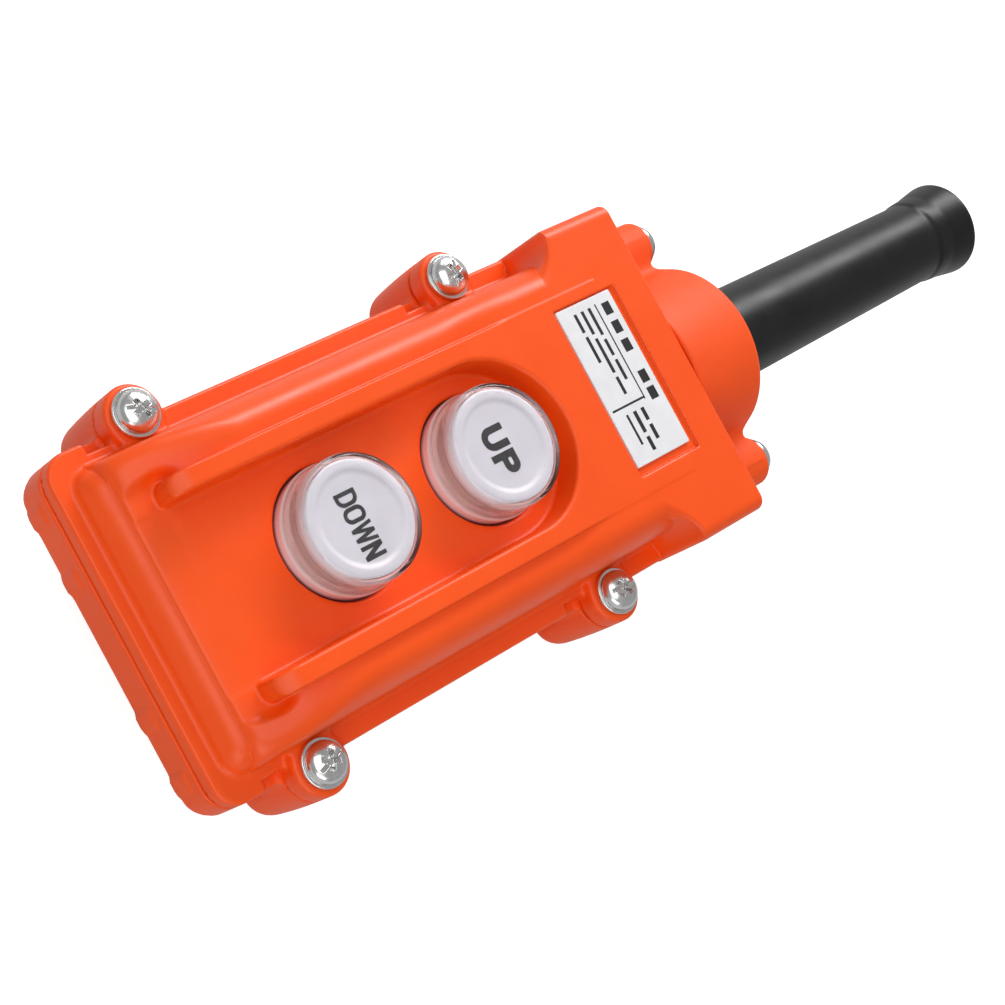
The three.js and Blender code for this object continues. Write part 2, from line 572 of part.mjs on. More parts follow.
function clampParts() {
  add('cable_clamp', toGeometry(cableClamp()), STEEL);
  [-1, 1].forEach((side, i) => {
    const seat = CLAMP.postTop + 1.8;
    add(`clamp_screw_${i + 1}`,
      toGeometry(panScrew(side * CLAMP.postX, CLAMP.y, seat, 12, SMALL_SCREW_R, 2.7)), STEEL);
  });
}

// ---- buttons --------------------------------------------------------------------------------
function buttonCap(y) {
  const bottom = CAP_TOP_Z - CAP_HEIGHT;
  const socketTop = CAP_TOP_Z - CAP_SKIN;
  return turnedZ([
    [STEM_R + FIT, bottom], [CAP_R, bottom], [CAP_R, CAP_TOP_Z - 0.7], [CAP_R - 0.7, CAP_TOP_Z],
    [CAP_R - 1.6, CAP_TOP_Z], [CAP_R - 2.2, CAP_TOP_Z - 0.6], [0, CAP_TOP_Z - 0.6], [0, socketTop],
    [STEM_R + FIT, socketTop], [STEM_R + FIT, bottom],
  ], 0, y, 28);
}

function rainBoot(y) {
  const top = CAP_TOP_Z + FIT + BOOT_WALL;
  const flangeTop = FLOOR_Z - WALL - FIT;
  const inner = BOOT_R - BOOT_WALL;
  return turnedZ([
    [inner, flangeTop - BOOT_FLANGE], [BOOT_FLANGE_R, flangeTop - BOOT_FLANGE], [BOOT_FLANGE_R, flangeTop],
    [BOOT_R + 0.4, flangeTop], [BOOT_R + 0.4, FLOOR_Z + 2.2], [BOOT_R, FLOOR_Z + 3],
    [BOOT_R, top - 1.2], [BOOT_R - 0.35, top - 0.35], [BOOT_R - 1.2, top], [0, top],
    [0, CAP_TOP_Z + FIT], [inner - 0.6, CAP_TOP_Z + FIT], [inner, CAP_TOP_Z - 0.2],
    [inner, flangeTop - BOOT_FLANGE],
  ], 0, y, 28);
}

// The ring that clamps the boot, with the bush that guides the plunger.
function bootRetainer(y) {
  const top = FLOOR_Z - WALL - FIT - BOOT_FLANGE - FIT;
  return turnedZ([
    [STEM_R + 0.35, top - 5.4], [5.5, top - 5.4], [5.5, top - 1.4], [BOOT_FLANGE_R, top - 1.4],
    [BOOT_FLANGE_R, top], [STEM_R + 0.35, top], [STEM_R + 0.35, top - 5.4],
  ], 0, y, 24);
}

function plunger(y) {
  const stemTop = CAP_TOP_Z - CAP_SKIN - FIT;
  const collar = BRIDGE_Z + BRIDGE_THICK + 0.2;
  return turnedZ([
    [0, 14], [1.7, 14], [2.2, 14.6], [2.2, collar], [5.4, collar], [5.4, collar + 1.6],
    [STEM_R, collar + 1.6], [STEM_R, stemTop], [0, stemTop],
  ], 0, y, 16);
}

function contactBridge(y) {
  const strip = toSolid(block(-11.5, 11.5, y - 3, y + 3, BRIDGE_Z, BRIDGE_Z + BRIDGE_THICK));
  const hub = toSolid(rod(0, y, BRIDGE_Z, BRIDGE_Z + BRIDGE_THICK, 5, 16));
  return cut(join(strip, hub), toSolid(rod(0, y, 0, 40, 2.2 + FIT, 12)));
}

class Helix extends THREE.Curve {
  constructor(radius, z0, z1, turns) {
    super();
    Object.assign(this, { radius, z0, z1, turns });
  }

  getPoint(t, target = new THREE.Vector3()) {
    const angle = t * this.turns * 2 * Math.PI;
    return target.set(this.radius * Math.cos(angle), this.radius * Math.sin(angle),
      this.z0 + t * (this.z1 - this.z0));
  }
}

function returnSpring(y) {
  const path = new Helix(
    SPRING_R, WELL_BOTTOM_Z + FIT + WIRE_R, BRIDGE_Z - FIT - WIRE_R, SPRING_TURNS);
  const section = new THREE.Shape();
  section.absarc(0, 0, WIRE_R, 0, Math.PI * 2, false);
  const geometry = new THREE.ExtrudeGeometry(
    section, { steps: 48, extrudePath: path, curveSegments: 2, bevelEnabled: false });
  return geometry.translate(0, y, 0);
}

function buttonParts() {
  for (const [name, y] of Object.entries(BUTTON_Y)) {
    add(`${name}_button_cap`, buttonCap(y), WHITE);
    add(`${name}_rain_boot`, rainBoot(y), CLEAR);
    add(`${name}_boot_retainer`, bootRetainer(y), WHITE);
    add(`${name}_plunger`, plunger(y), WHITE);
    add(`${name}_contact_bridge`, toGeometry(contactBridge(y)), BRASS);
    add(`${name}_return_spring`, returnSpring(y), STEEL);
  }
}

// ---- assembly -------------------------------------------------------------------------------
add('rear_housing', toGeometry(rearHousing()), ORANGE);
add('front_cover', toGeometry(frontCover()), ORANGE);
add('cover_gasket', alongZ(gasketShape(0), PARTING_Z - 0.9, PARTING_Z + 0.2), GREY_RUBBER);
add('gland_cap', toGeometry(glandCap()), ORANGE);
add('cable_sleeve', cableSleeve(), BLACK_RUBBER);
add('label_plate', block(
  LABEL.x - LABEL.width / 2, LABEL.x + LABEL.width / 2, LABEL.y - LABEL.height / 2,
  LABEL.y + LABEL.height / 2, HEAD_TOP_Z - LABEL.thick, HEAD_TOP_Z), WHITE);
coverFasteners();
glandFasteners();
contactParts();
clampParts();
buttonParts();

export default group;
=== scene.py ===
"""Pendant control station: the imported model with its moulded, turned and printed surfaces."""
import json
from math import cos, radians, sin, tau

import bpy
import numpy as np
from mathutils import Matrix, Quaternion, Vector


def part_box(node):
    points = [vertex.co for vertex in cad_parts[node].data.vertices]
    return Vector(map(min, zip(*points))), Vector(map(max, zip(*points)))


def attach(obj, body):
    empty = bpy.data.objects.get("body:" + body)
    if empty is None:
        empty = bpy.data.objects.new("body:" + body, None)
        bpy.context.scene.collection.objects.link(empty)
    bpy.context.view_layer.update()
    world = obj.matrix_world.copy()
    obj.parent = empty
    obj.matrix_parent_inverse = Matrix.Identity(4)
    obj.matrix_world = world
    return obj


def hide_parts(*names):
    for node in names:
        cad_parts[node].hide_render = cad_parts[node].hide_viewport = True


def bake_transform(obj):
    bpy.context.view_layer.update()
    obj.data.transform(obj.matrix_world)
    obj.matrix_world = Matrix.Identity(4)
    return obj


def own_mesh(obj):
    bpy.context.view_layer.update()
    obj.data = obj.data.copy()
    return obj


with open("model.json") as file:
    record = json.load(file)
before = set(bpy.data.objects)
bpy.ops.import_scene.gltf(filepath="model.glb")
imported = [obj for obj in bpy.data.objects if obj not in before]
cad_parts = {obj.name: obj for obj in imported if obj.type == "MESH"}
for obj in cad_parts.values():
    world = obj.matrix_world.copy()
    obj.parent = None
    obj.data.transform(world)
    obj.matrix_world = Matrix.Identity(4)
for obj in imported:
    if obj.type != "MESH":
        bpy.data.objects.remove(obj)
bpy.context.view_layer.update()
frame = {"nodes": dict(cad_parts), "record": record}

MM = 0.001

# ---- dimensions, in millimetres -------------------------------------------------------------
FLANGE_HALF = 32.6
BODY_HALF = 28.6
DRAFT = 0.09
SHOULDER_Z = 47.9
SHOULDER_ROUND = 5.0
RIB_INNER = 16.4
RIB_OUTER = 20.3
NOSE_SLOPE = 0.05
NOSE_LENGTH = 21.1
BEVEL_SLOPE = 0.36
BEVEL_DROP = 2.2
BEVEL_START = 3.9
BEVEL_LIFT = 0.4
FLARE_R = 6.4
FRONT_INSET = 3.3
FRONT_ROUND = 3.4
CORNER_ROUND = 5.0
HEAD_PROUD = 0.3
HEAD_WAIST = 2.8
HEAD_EDGE = 0.8
HEAD_LEAD = 11
WALL = 2.6
FIT = 0.1
GASKET_GAP = 0.3
RIM_DEPTH = 7.7
FLANGE_THICK = 2.8
FLANGE_ROUND = 5
LUG_R = 5.6
LUG_WEB_HALF = 4.6
COLUMN_WEB_HALF = 3.8
SCREW_HOLE_R = 2.3
INSERT_HOLE_R = 2.7
HOLE_R = 12.4
NECK_R = 18.3
EAR_R = 5.1
BORE_R = 10.05
COLLAR_R = 13.8
BOTTOM_RIB_X = (13, 25)
BOTTOM_RIB_HALF = 1.7
SLEEVE_TIP_R = 8.85
SLEEVE_BORE_R = 6.2
SLEEVE_NECK_R = 9.75
SLEEVE_COLLAR_R = 13.5
SCREW_HEAD_R = 3.9
SCREW_HEAD_H = 2.5
SCREW_SHANK_R = 1.9
SCREW_LENGTH = 20.9
COVER_SCREW_SEAT = 21
GLAND_SCREW_SEAT = 23
GLAND_HEAD_R = 3.8
SCREW_TURNS = (20, 65, 110, 35)
WASHER_BORE_R = 2.15
COVER_WASHER_R = 4.5
GLAND_WASHER_R = 4.3
CAP_STEM_INSET = 1.9
CAP_BORE_R = 3.3
CAP_HOLLOW = 2.6
CAP_DISH = 0.5
INK_THICK = 0.07
BOOT_R = 12.05
BOOT_INNER_R = 10.9
BOOT_SEAT_R = 9.4
BOOT_FLANGE_R = 14.6
BOOT_FLANGE_THICK = 1.2
BOOT_SKIN = 0.8
WIRE_R = 0.42
COILS = 7
PRINT_THICK = 0.02

# ---- studio, in metres and degrees ----------------------------------------------------------
CAMERA_AT = (0.01256, -0.29521, 0.37375)
CAMERA_TARGET = (0.00879, -0.04108, 0.045)
CAMERA_ROLL = 61.02
CAMERA_LENS = 83.26
FLOOR_HALF = 4.0
WORLD_LIGHT = 0.36


# ---- places from the frame, in millimetres --------------------------------------------------
def low(node):
    return np.array(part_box(node)[0]) / MM


def high(node):
    return np.array(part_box(node)[1]) / MM


def middle(node):
    return (low(node) + high(node)) / 2


PARTING_Z = low("front_cover")[2]
HEAD_TOP = high("front_cover")[2]
HEAD_END = high("front_cover")[1]
RIM_END = low("front_cover")[1]
HOUSING_END = low("rear_housing")[1]
RIM_TOP = PARTING_Z - GASKET_GAP
RIM_BOTTOM = RIM_TOP - RIM_DEPTH
NECK_Z = middle("cable_sleeve")[2]
GLAND_END = high("gland_cap")[1]
GLAND_START = low("gland_cap")[1]
LUG_TOP = low("cover_washer_1")[2] - FIT
FLANGE_TOP = PARTING_Z + FLANGE_THICK
FLOOR_Z = HEAD_TOP - 7.1
CREASE_Y = RIM_END + NOSE_LENGTH
HEAD_START = HEAD_END - 18
BUTTONS = {name: middle(f"{name}_button_cap") for name in ("down", "up")}
CAP_TOP = high("up_button_cap")[2]
CAP_R = (high("up_button_cap")[0] - low("up_button_cap")[0]) / 2
SCREWS = [middle(f"cover_screw_{i}") for i in (1, 2, 3, 4)]
GLAND_SCREWS = [middle(f"gland_screw_{i}") for i in (1, 2)]
SCREW_X = abs(SCREWS[0][0])
SCREW_ROWS = sorted({round(float(s[1]), 3) for s in SCREWS})
LABEL_LOW, LABEL_HIGH = low("label_plate"), high("label_plate")


# ---- distance fields ------------------------------------------------------------------------
def union(a, b, k=0.0):
    if k <= 0:
        return np.minimum(a, b)
    h = np.maximum(k - np.abs(a - b), 0) / k
    return np.minimum(a, b) - h * h * k / 4


def common(a, b, k=0.0):
    return -union(-a, -b, k)


def cut(a, b, k=0.0):
    return -union(-a, b, k)


def round_union(a, b, r):
    """A union whose inside corner is a true arc of radius r."""
    return np.maximum(np.minimum(a, b), r) - np.hypot(np.maximum(r - a, 0), np.maximum(r - b, 0))


def round_common(a, b, r):
    return -round_union(-a, -b, r)


def slab(v, v0, v1):
    return np.maximum(v0 - v, v - v1)


def box(x, y, z, lo, hi, r=0.0):
    dx = slab(x, lo[0] + r, hi[0] - r)
    dy = slab(y, lo[1] + r, hi[1] - r)
    dz = slab(z, lo[2] + r, hi[2] - r)
    outside = np.sqrt(np.maximum(dx, 0) ** 2 + np.maximum(dy, 0) ** 2 + np.maximum(dz, 0) ** 2)
    return outside + np.minimum(np.maximum(np.maximum(dx, dy), dz), 0) - r


def plate(x, y, x0, y0, x1, y1, r):
    dx = slab(x, x0 + r, x1 - r)
    dy = slab(y, y0 + r, y1 - r)
    outside = np.sqrt(np.maximum(dx, 0) ** 2 + np.maximum(dy, 0) ** 2)
    return outside + np.minimum(np.maximum(dx, dy), 0) - r


def disc(a, b, r):
    return np.sqrt(a * a + b * b) - r


def sweep(t):
    """Smooth step from 0 to 1."""
    t = np.clip(t, 0, 1)
    return t * t * (3 - 2 * t)


def ticks(*spans):
    """Grid lines from (start, step) pairs; the last start closes the row."""
    marks = [spans[0][0]]
    for (start, step), (end, _) in zip(spans, spans[1:]):
        count = max(1, round((end - start) / step))
        marks += list(start + (end - start) * np.arange(1, count + 1) / count)
    return np.array(marks)


def even(lo, hi, step):
    return [ticks((lo[i] - 2 * step, step), (hi[i] + 2 * step, 0)) for i in range(3)]


def crossings(value, cells):
    """Sums of the places where the surface crosses each cell's edges, and the quads around them."""
    inside = value < 0
    total = np.zeros((int(np.prod(cells)), 3))
    hits = np.zeros(int(np.prod(cells)))
    quads = []
    for a in range(3):
        b, c = (a + 1) % 3, (a + 2) % 3
        lower = tuple(slice(0, -1) if i == a else slice(None) for i in range(3))
        upper = tuple(slice(1, None) if i == a else slice(None) for i in range(3))
        edge = np.array(np.nonzero(inside[lower] != inside[upper]))
        v0, v1 = value[lower][tuple(edge)], value[upper][tuple(edge)]
        point = edge.T.astype(float)
        point[:, a] += v0 / (v0 - v1)
        ring = []
        for db, dc in ((0, 0), (-1, 0), (-1, -1), (0, -1)):
            cell = edge.copy()
            cell[b] += db
            cell[c] += dc
            flat = np.ravel_multi_index(cell, cells, mode="clip")
            hits += np.bincount(flat, minlength=hits.size)
            for i in range(3):
                total[:, i] += np.bincount(flat, weights=point[:, i], minlength=hits.size)
            ring.append(flat)
        ring = np.array(ring).T
        outward = inside[lower][tuple(edge)]
        ring[~outward] = ring[~outward][:, ::-1]
        quads.append(ring)
    return total, hits, np.concatenate(quads)


def settle(field, points, rounds=4, reach=0.15):
    """Moves the points onto the surface, a little each round."""
    for _ in range(rounds):
        slope = gradient(field, points)
        steepness = np.maximum((slope**2).sum(1), 0.3)[:, None]
        points -= np.clip(field(*points.T)[:, None] * slope / steepness, -reach, reach)
    return points


def surface(field, axes):
    """Vertices, quads and normals of the surface where the field is zero."""
    value = field(*np.meshgrid(*axes, indexing="ij", sparse=True))
    count = np.array([len(a) for a in axes])
    value = np.broadcast_to(value, count).astype(np.float64)
    total, hits, quads = crossings(value, count - 1)
    used = np.nonzero(hits)[0]
    number = np.full(hits.size, -1)
    number[used] = np.arange(used.size)
    points = total[used] / hits[used][:, None]
    for i in range(3):
        points[:, i] = np.interp(points[:, i], np.arange(count[i]), axes[i])
    points = settle(field, points)
    slope = gradient(field, points)
    normals = slope / np.maximum(np.linalg.norm(slope, axis=1), 1e-6)[:, None]
    return points, number[quads], normals


def gradient(field, points, h=0.02):
    """The field's slope at each point, by central differences of half width h."""
    sides = []
    for i in range(3):
        shift = np.zeros(3)
        shift[i] = h
        sides.append((field(*(points + shift).T) - field(*(points - shift).T)) / (2 * h))
    return np.array(sides).T


# ---- meshes ---------------------------------------------------------------------------------
def add_mesh(name, points, faces, normals=None):
    mesh = bpy.data.meshes.new(name)
    faces = [[int(v) for v in face] for face in faces]
    mesh.from_pydata((np.asarray(points) * MM).tolist(), [], faces)
    mesh.validate()
    mesh.shade_smooth()
    if normals is not None and len(normals) == len(mesh.vertices):
        mesh.normals_split_custom_set_from_vertices(normals.tolist())
    made = bpy.data.objects.new(name, mesh)
    bpy.context.scene.collection.objects.link(made)
    return made


def moulded(name, field, axes):
    points, quads, normals = surface(field, axes)
    return add_mesh(name, points, quads, normals)


def soften(profile, radius, steps=5):
    """Rounds the corners of an outline, each with its own radius or one for all."""
    points = [np.array(p, float) for p in profile]
    closed = np.allclose(points[0], points[-1])
    if closed:
        points = points[:-1]
    count = len(points)
    soft = []
    for i, corner in enumerate(points):
        ends = not closed and i in (0, count - 1)
        r = radius[i] if isinstance(radius, (list, tuple)) else radius
        if ends or r <= 0:
            soft.append(corner)
            continue
        before, after = points[i - 1] - corner, points[(i + 1) % count] - corner
        reach = min(r, 0.45 * np.linalg.norm(before), 0.45 * np.linalg.norm(after))
        start = corner + before / np.linalg.norm(before) * reach
        end = corner + after / np.linalg.norm(after) * reach
        for t in np.linspace(0, 1, steps):
            soft.append((1 - t) ** 2 * start + 2 * t * (1 - t) * corner + t * t * end)
    if closed:
        soft.append(soft[0])
    return soft


def turned(name, profile, centre, axis="Z", segments=96):
    """A profile of (radius, height) turned about Z or Y; heights are in the row frame."""
    closed = np.allclose(profile[0], profile[-1])
    rows = profile[:-1] if closed else profile
    points, row_index = [], []
    for r, h in rows:
        if r < 1e-6:
            row_index.append([len(points)] * segments)
            points.append((0, 0, h))
            continue
        row_index.append(list(range(len(points), len(points) + segments)))
        points += [(r * cos(tau * i / segments), r * sin(tau * i / segments), h)
                   for i in range(segments)]
    faces = []
    pairs = list(zip(row_index, row_index[1:]))
    if closed:
        pairs.append((row_index[-1], row_index[0]))
    for one, two in pairs:
        for i in range(segments):
            j = (i + 1) % segments
            face = [one[i], one[j], two[j], two[i]]
            face = [v for k, v in enumerate(face) if v != face[k - 1]]
            faces.append(face)
    points = np.array(points, float)
    if axis == "Y":
        points = np.column_stack([points[:, 0], points[:, 2], -points[:, 1]])
        points += np.array([centre[0], 0, centre[2]])
    else:
        points += np.array([centre[0], centre[1], 0])
    return add_mesh(name, points, faces)


def place(piece, body, material, slot, *nodes):
    piece.data.materials.clear()
    piece.data.materials.append(material)
    if nodes:
        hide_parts(*nodes)
    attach(piece, body)
    return piece


# ---- materials ------------------------------------------------------------------------------
class Nodes:
    """A small helper that builds one material's node tree."""

    def __init__(self, name):
        self.material = bpy.data.materials.new(name)
        self.material.use_nodes = True
        self.tree = self.material.node_tree
        self.shader = self.tree.nodes["Principled BSDF"]
        self.output = self.tree.nodes["Material Output"]
        coords = self.tree.nodes.new("ShaderNodeTexCoord")
        self.where = coords.outputs["Object"]

    def add(self, kind, **values):
        node = self.tree.nodes.new(kind)
        for key, value in values.items():
            if key in node.inputs:
                node.inputs[key].default_value = value
            else:
                setattr(node, key, value)
        return node

    def link(self, a, b):
        self.tree.links.new(a, b)

    def noise(self, scale, detail=3.0, rough=0.5, stretch=None):
        node = self.add("ShaderNodeTexNoise", Scale=scale, Detail=detail, Roughness=rough)
        where = self.where
        if stretch:
            mapping = self.add("ShaderNodeMapping", Scale=stretch)
            self.link(where, mapping.inputs["Vector"])
            where = mapping.outputs["Vector"]
        self.link(where, node.inputs["Vector"])
        return node.outputs["Fac"]

    def ramp(self, factor, stops):
        node = self.add("ShaderNodeValToRGB")
        ramp = node.color_ramp
        while len(ramp.elements) < len(stops):
            ramp.elements.new(0.5)
        for element, (place_on, colour) in zip(ramp.elements, stops):
            element.position = place_on
            element.color = (*colour, 1)
        self.link(factor, node.inputs["Fac"])
        return node.outputs["Color"]

    def tint(self, factor, one, two, start=0.3, end=0.7):
        """Base colour, from one to two as the factor goes from start to end."""
        colour = self.ramp(factor, [(start, one), (end, two)])
        self.link(colour, self.shader.inputs["Base Color"])

    def rough(self, factor, start, end):
        self.link(self.span(factor, start, end), self.shader.inputs["Roughness"])

    def span(self, factor, start, end):
        """A number from start to end as a noise factor goes through its usual range."""
        node = self.add("ShaderNodeMapRange")
        node.inputs["From Min"].default_value = 0.3
        node.inputs["From Max"].default_value = 0.7
        node.inputs["To Min"].default_value = start
        node.inputs["To Max"].default_value = end
        self.link(factor, node.inputs["Value"])
        return node.outputs["Result"]

    def height(self, low_z, high_z):
        """0 to 1 up the piece, between two heights in metres."""
        parts = self.add("ShaderNodeSeparateXYZ")
        self.link(self.where, parts.inputs["Vector"])
        node = self.add("ShaderNodeMapRange")
        node.inputs["From Min"].default_value = low_z
        node.inputs["From Max"].default_value = high_z
        self.link(parts.outputs["Z"], node.inputs["Value"])
        return node.outputs["Result"]

    def bump(self, *layers):
        normal = None
        for factor, depth in layers:
            node = self.add("ShaderNodeBump", Strength=1.0, Distance=depth)
            self.link(factor, node.inputs["Height"])
            if normal:
                self.link(normal, node.inputs["Normal"])
            normal = node.outputs["Normal"]
        self.link(normal, self.shader.inputs["Normal"])

    def set(self, **values):
        for key, value in values.items():
            self.shader.inputs[key.replace("_", " ")].default_value = value


def orange_plastic(name, shine):
    """Moulded orange plastic; shine is its lowest roughness."""
    m = Nodes(name)
    tint = m.noise(35, 4, 0.6)
    grain = m.noise(2600, 2, 0.5)
    flow = m.noise(120, 3, 0.6)
    m.tint(tint, (0.91, 0.08, 0.002), (0.97, 0.094, 0.003))
    m.rough(flow, shine, shine + 0.08)
    m.bump((flow, 0.00004), (grain, 0.000006))
    m.set(IOR=1.5, Specular_IOR_Level=0.42, Subsurface_Weight=0.08, Subsurface_Scale=0.002,
          Subsurface_Radius=(1.0, 0.25, 0.08))
    return m.material


def black_rubber():
    m = Nodes("black_rubber")
    dust = m.noise(180, 5, 0.65)
    grain = m.noise(3500, 2, 0.6)
    m.tint(dust, (0.006, 0.006, 0.0065), (0.011, 0.011, 0.0115), end=0.75)
    m.rough(dust, 0.33, 0.41)
    m.bump((grain, 0.00001))
    m.set(Specular_IOR_Level=0.3)
    return m.material


def grey_rubber():
    m = Nodes("grey_rubber")
    dust = m.noise(300, 4)
    m.tint(dust, (0.04, 0.04, 0.042), (0.06, 0.06, 0.062))
    m.rough(dust, 0.6, 0.75)
    m.bump((dust, 0.00002))
    return m.material


def plated_steel():
    m = Nodes("plated_steel")
    haze = m.noise(420, 4, 0.6)
    lines = m.noise(1800, 2, 0.5, (1, 1, 0.2))
    m.tint(haze, (0.7, 0.7, 0.68), (0.82, 0.83, 0.84))
    m.rough(haze, 0.16, 0.3)
    m.bump((lines, 0.000012))
    m.set(Metallic=1.0)
    return m.material


def brass():
    m = Nodes("brass")
    haze = m.noise(500, 4)
    lines = m.noise(2200, 2, 0.5, (0.1, 1, 1))
    m.tint(haze, (0.55, 0.36, 0.12), (0.68, 0.47, 0.18))
    m.rough(haze, 0.25, 0.4)
    m.bump((lines, 0.00001))
    m.set(Metallic=1.0)
    return m.material


def white_plastic():
    m = Nodes("white_plastic")
    tint = m.noise(160, 3)
    grain = m.noise(2400, 2)
    m.tint(tint, (0.49, 0.49, 0.54), (0.53, 0.53, 0.58))
    m.rough(tint, 0.38, 0.46)
    m.bump((grain, 0.000006))
    m.set(Subsurface_Weight=0.08, Subsurface_Scale=0.002)
    return m.material


def label_film():
    m = Nodes("label_film")
    tint = m.noise(260, 3)
    fibre = m.noise(1800, 3)
    m.tint(tint, (0.76, 0.76, 0.79), (0.82, 0.82, 0.84))
    m.rough(tint, 0.34, 0.42)
    m.bump((fibre, 0.000005))
    return m.material


def dark_ink():
    m = Nodes("dark_ink")
    speck = m.noise(2500, 3)
    m.tint(speck, (0.006, 0.006, 0.007), (0.012, 0.012, 0.014))
    m.rough(speck, 0.42, 0.55)
    m.bump((speck, 0.000003))
    return m.material


def black_plastic():
    m = Nodes("black_plastic")
    tint = m.noise(200, 3)
    grain = m.noise(1500, 3)
    m.tint(tint, (0.018, 0.018, 0.02), (0.028, 0.028, 0.031))
    m.rough(tint, 0.45, 0.55)
    m.bump((grain, 0.00002))
    return m.material


def clear_boot():
    """Clear silicone: it refracts what is seen through it, and lets lamps through to the cap; its colour
    up the wall holds painted shade and a painted reflection.
    """
    m = Nodes("clear_boot")
    ripple = m.noise(260, 3, 0.6)
    m.bump((ripple, 0.00003))
    m.rough(ripple, 0.04, 0.12)
    height = m.height(0.036, 0.052)
    # Colour up the boot: the dark red at the foot is painted shade in the gap of the hole. Above it are a
    # pale milky ring, a pink-orange wall that is a painted reflection of the orange trough around it, a
    # paler band under the rim, and the clear top.
    boot_bands_painted_shade_and_reflection = [(0.33, (0.3, 0.09, 0.09)), (0.4, (0.93, 0.86, 0.88)), (0.5, (0.93, 0.86, 0.88)),
            (0.55, (0.94, 0.72, 0.66)), (0.76, (0.94, 0.76, 0.71)), (0.82, (0.93, 0.9, 0.92)),
            (0.88, (0.93, 0.9, 0.92)), (0.905, (0.98, 0.975, 0.98))]
    m.link(m.ramp(height, boot_bands_painted_shade_and_reflection), m.shader.inputs["Base Color"])
    # The boot is less clear at the foot, so the painted shade there shows.
    clear = [(0.33, 0.1), (0.5, 0.12), (0.56, 0.8), (0.76, 0.8),
             (0.82, 0.62), (0.88, 0.62), (0.905, 1.0)]
    clearness = m.ramp(height, [(at, (t, t, t)) for at, t in clear])
    m.link(clearness, m.shader.inputs["Transmission Weight"])
    m.set(IOR=1.3)
    through = m.add("ShaderNodeBsdfTransparent", Color=(0.97, 0.93, 0.92, 1))
    rays = m.add("ShaderNodeLightPath")
    either = m.add("ShaderNodeMixShader")
    m.link(rays.outputs["Is Shadow Ray"], either.inputs["Fac"])
    m.link(m.shader.outputs["BSDF"], either.inputs[1])
    m.link(through.outputs["BSDF"], either.inputs[2])
    m.link(either.outputs["Shader"], m.output.inputs["Surface"])
    return m.material


def pale_floor():
    m = Nodes("pale_floor")
    tint = m.noise(3, 3)
    grain = m.noise(400, 3)
    m.tint(tint, (0.55, 0.55, 0.55), (0.58, 0.58, 0.58))
    m.rough(tint, 0.75, 0.85)
    m.bump((grain, 0.00005))
    rays = m.add("ShaderNodeLightPath")
    glow = m.add("ShaderNodeMath", operation="MULTIPLY")
    glow.inputs[1].default_value = 0.8
    m.link(rays.outputs["Is Camera Ray"], glow.inputs[0])
    m.link(glow.outputs["Value"], m.shader.inputs["Emission Strength"])
    m.set(Emission_Color=(1, 1, 1, 1))
    return m.material


ORANGE = orange_plastic("orange_plastic", 0.34)
ORANGE_MATT = orange_plastic("orange_plastic_matt", 0.56)
BLACK_RUBBER = black_rubber()
GREY_RUBBER = grey_rubber()
STEEL = plated_steel()
BRASS = brass()
WHITE = white_plastic()
FILM = label_film()
INK = dark_ink()
BLACK = black_plastic()
CLEAR = clear_boot()


# ---- front cover ----------------------------------------------------------------------------
def nose_z(y):
    """Height of the trough's floor, which slopes down and then rolls off to the bottom end."""
    return union(FLOOR_Z - np.maximum(CREASE_Y - y, 0) * NOSE_SLOPE, bevel_z(y), 2.0)


def bevel_z(y):
    """Height of the sloping band along the bottom end."""
    return FLOOR_Z - BEVEL_DROP + BEVEL_SLOPE * (y - RIM_END - BEVEL_START)


def trough(x, y, z):
    up = BUTTONS["up"][1]
    side = np.where(y < up, np.abs(x), np.hypot(x, y - up)) - RIB_INNER - 0.02 * (z - FLOOR_Z)
    return round_common(side, (nose_z(y) - z) * 0.98, 0.9)


def shoulder_z(y):
    """Height of the strip outside the ribs, which climbs to meet the head."""
    return SHOULDER_Z + (HEAD_TOP - SHOULDER_Z) * sweep((y - HEAD_START + 30) / 16)


def ridge_z(y):
    """Height of the shoulder, which rolls off towards the bottom end."""
    t = np.clip((CREASE_Y - 4 - y) / 10, 0, 0.995)
    return shoulder_z(y) - 8.5 * (1 - np.sqrt(1 - t * t))


def nose_scoop(x, y, z):
    """The hollow in front of the ribs, down to the nose."""
    across = np.maximum(np.abs(x) - RIB_OUTER, 0) / 4.0
    ahead = np.maximum(y - (CREASE_Y - 8.4), 0) / 6.1
    plan = (np.hypot(across, ahead) - 1) * 4.4
    return common((plan + 0.5 * (SHOULDER_Z - z)) * 0.9, (nose_z(y) - z) * 0.98, 1.6)


def cover_head(x, y, z):
    ax = np.abs(x)
    side = ax - FLANGE_HALF - HEAD_PROUD
    plan = round_union(ax - BODY_HALF + HEAD_WAIST, HEAD_START + 0.3 - y, FLARE_R)
    plan = round_common(plan, side, 1.2)
    corner = round_common(side, z - HEAD_TOP, 2.4)
    edge = HEAD_EDGE + 4.4 * (1 - sweep((y - HEAD_START + 9) / 9))
    head = np.maximum(round_common(plan, z - HEAD_TOP, edge), corner)
    ends = np.maximum(HEAD_START - HEAD_LEAD - y, y - HEAD_END)
    return round_common(head, ends, HEAD_EDGE)


def cover_ribs(x, y, z):
    ax = np.abs(x)
    up = BUTTONS["up"][1]
    side = np.maximum(ax - RIB_OUTER, np.where(y < up, RIB_INNER - 1 - ax, -9.0))
    start = CREASE_Y - 8.6 - y
    rib_top = HEAD_TOP - 0.02 - 2.4 * np.clip((CREASE_Y - 3.5 - y) / 5.6, 0, 1) ** 2
    tip = round_common(side, start, 1.9)
    ridge = round_common(tip, (z - rib_top) * 0.9, 0.4)
    return np.maximum(ridge, y - HEAD_START - 6)


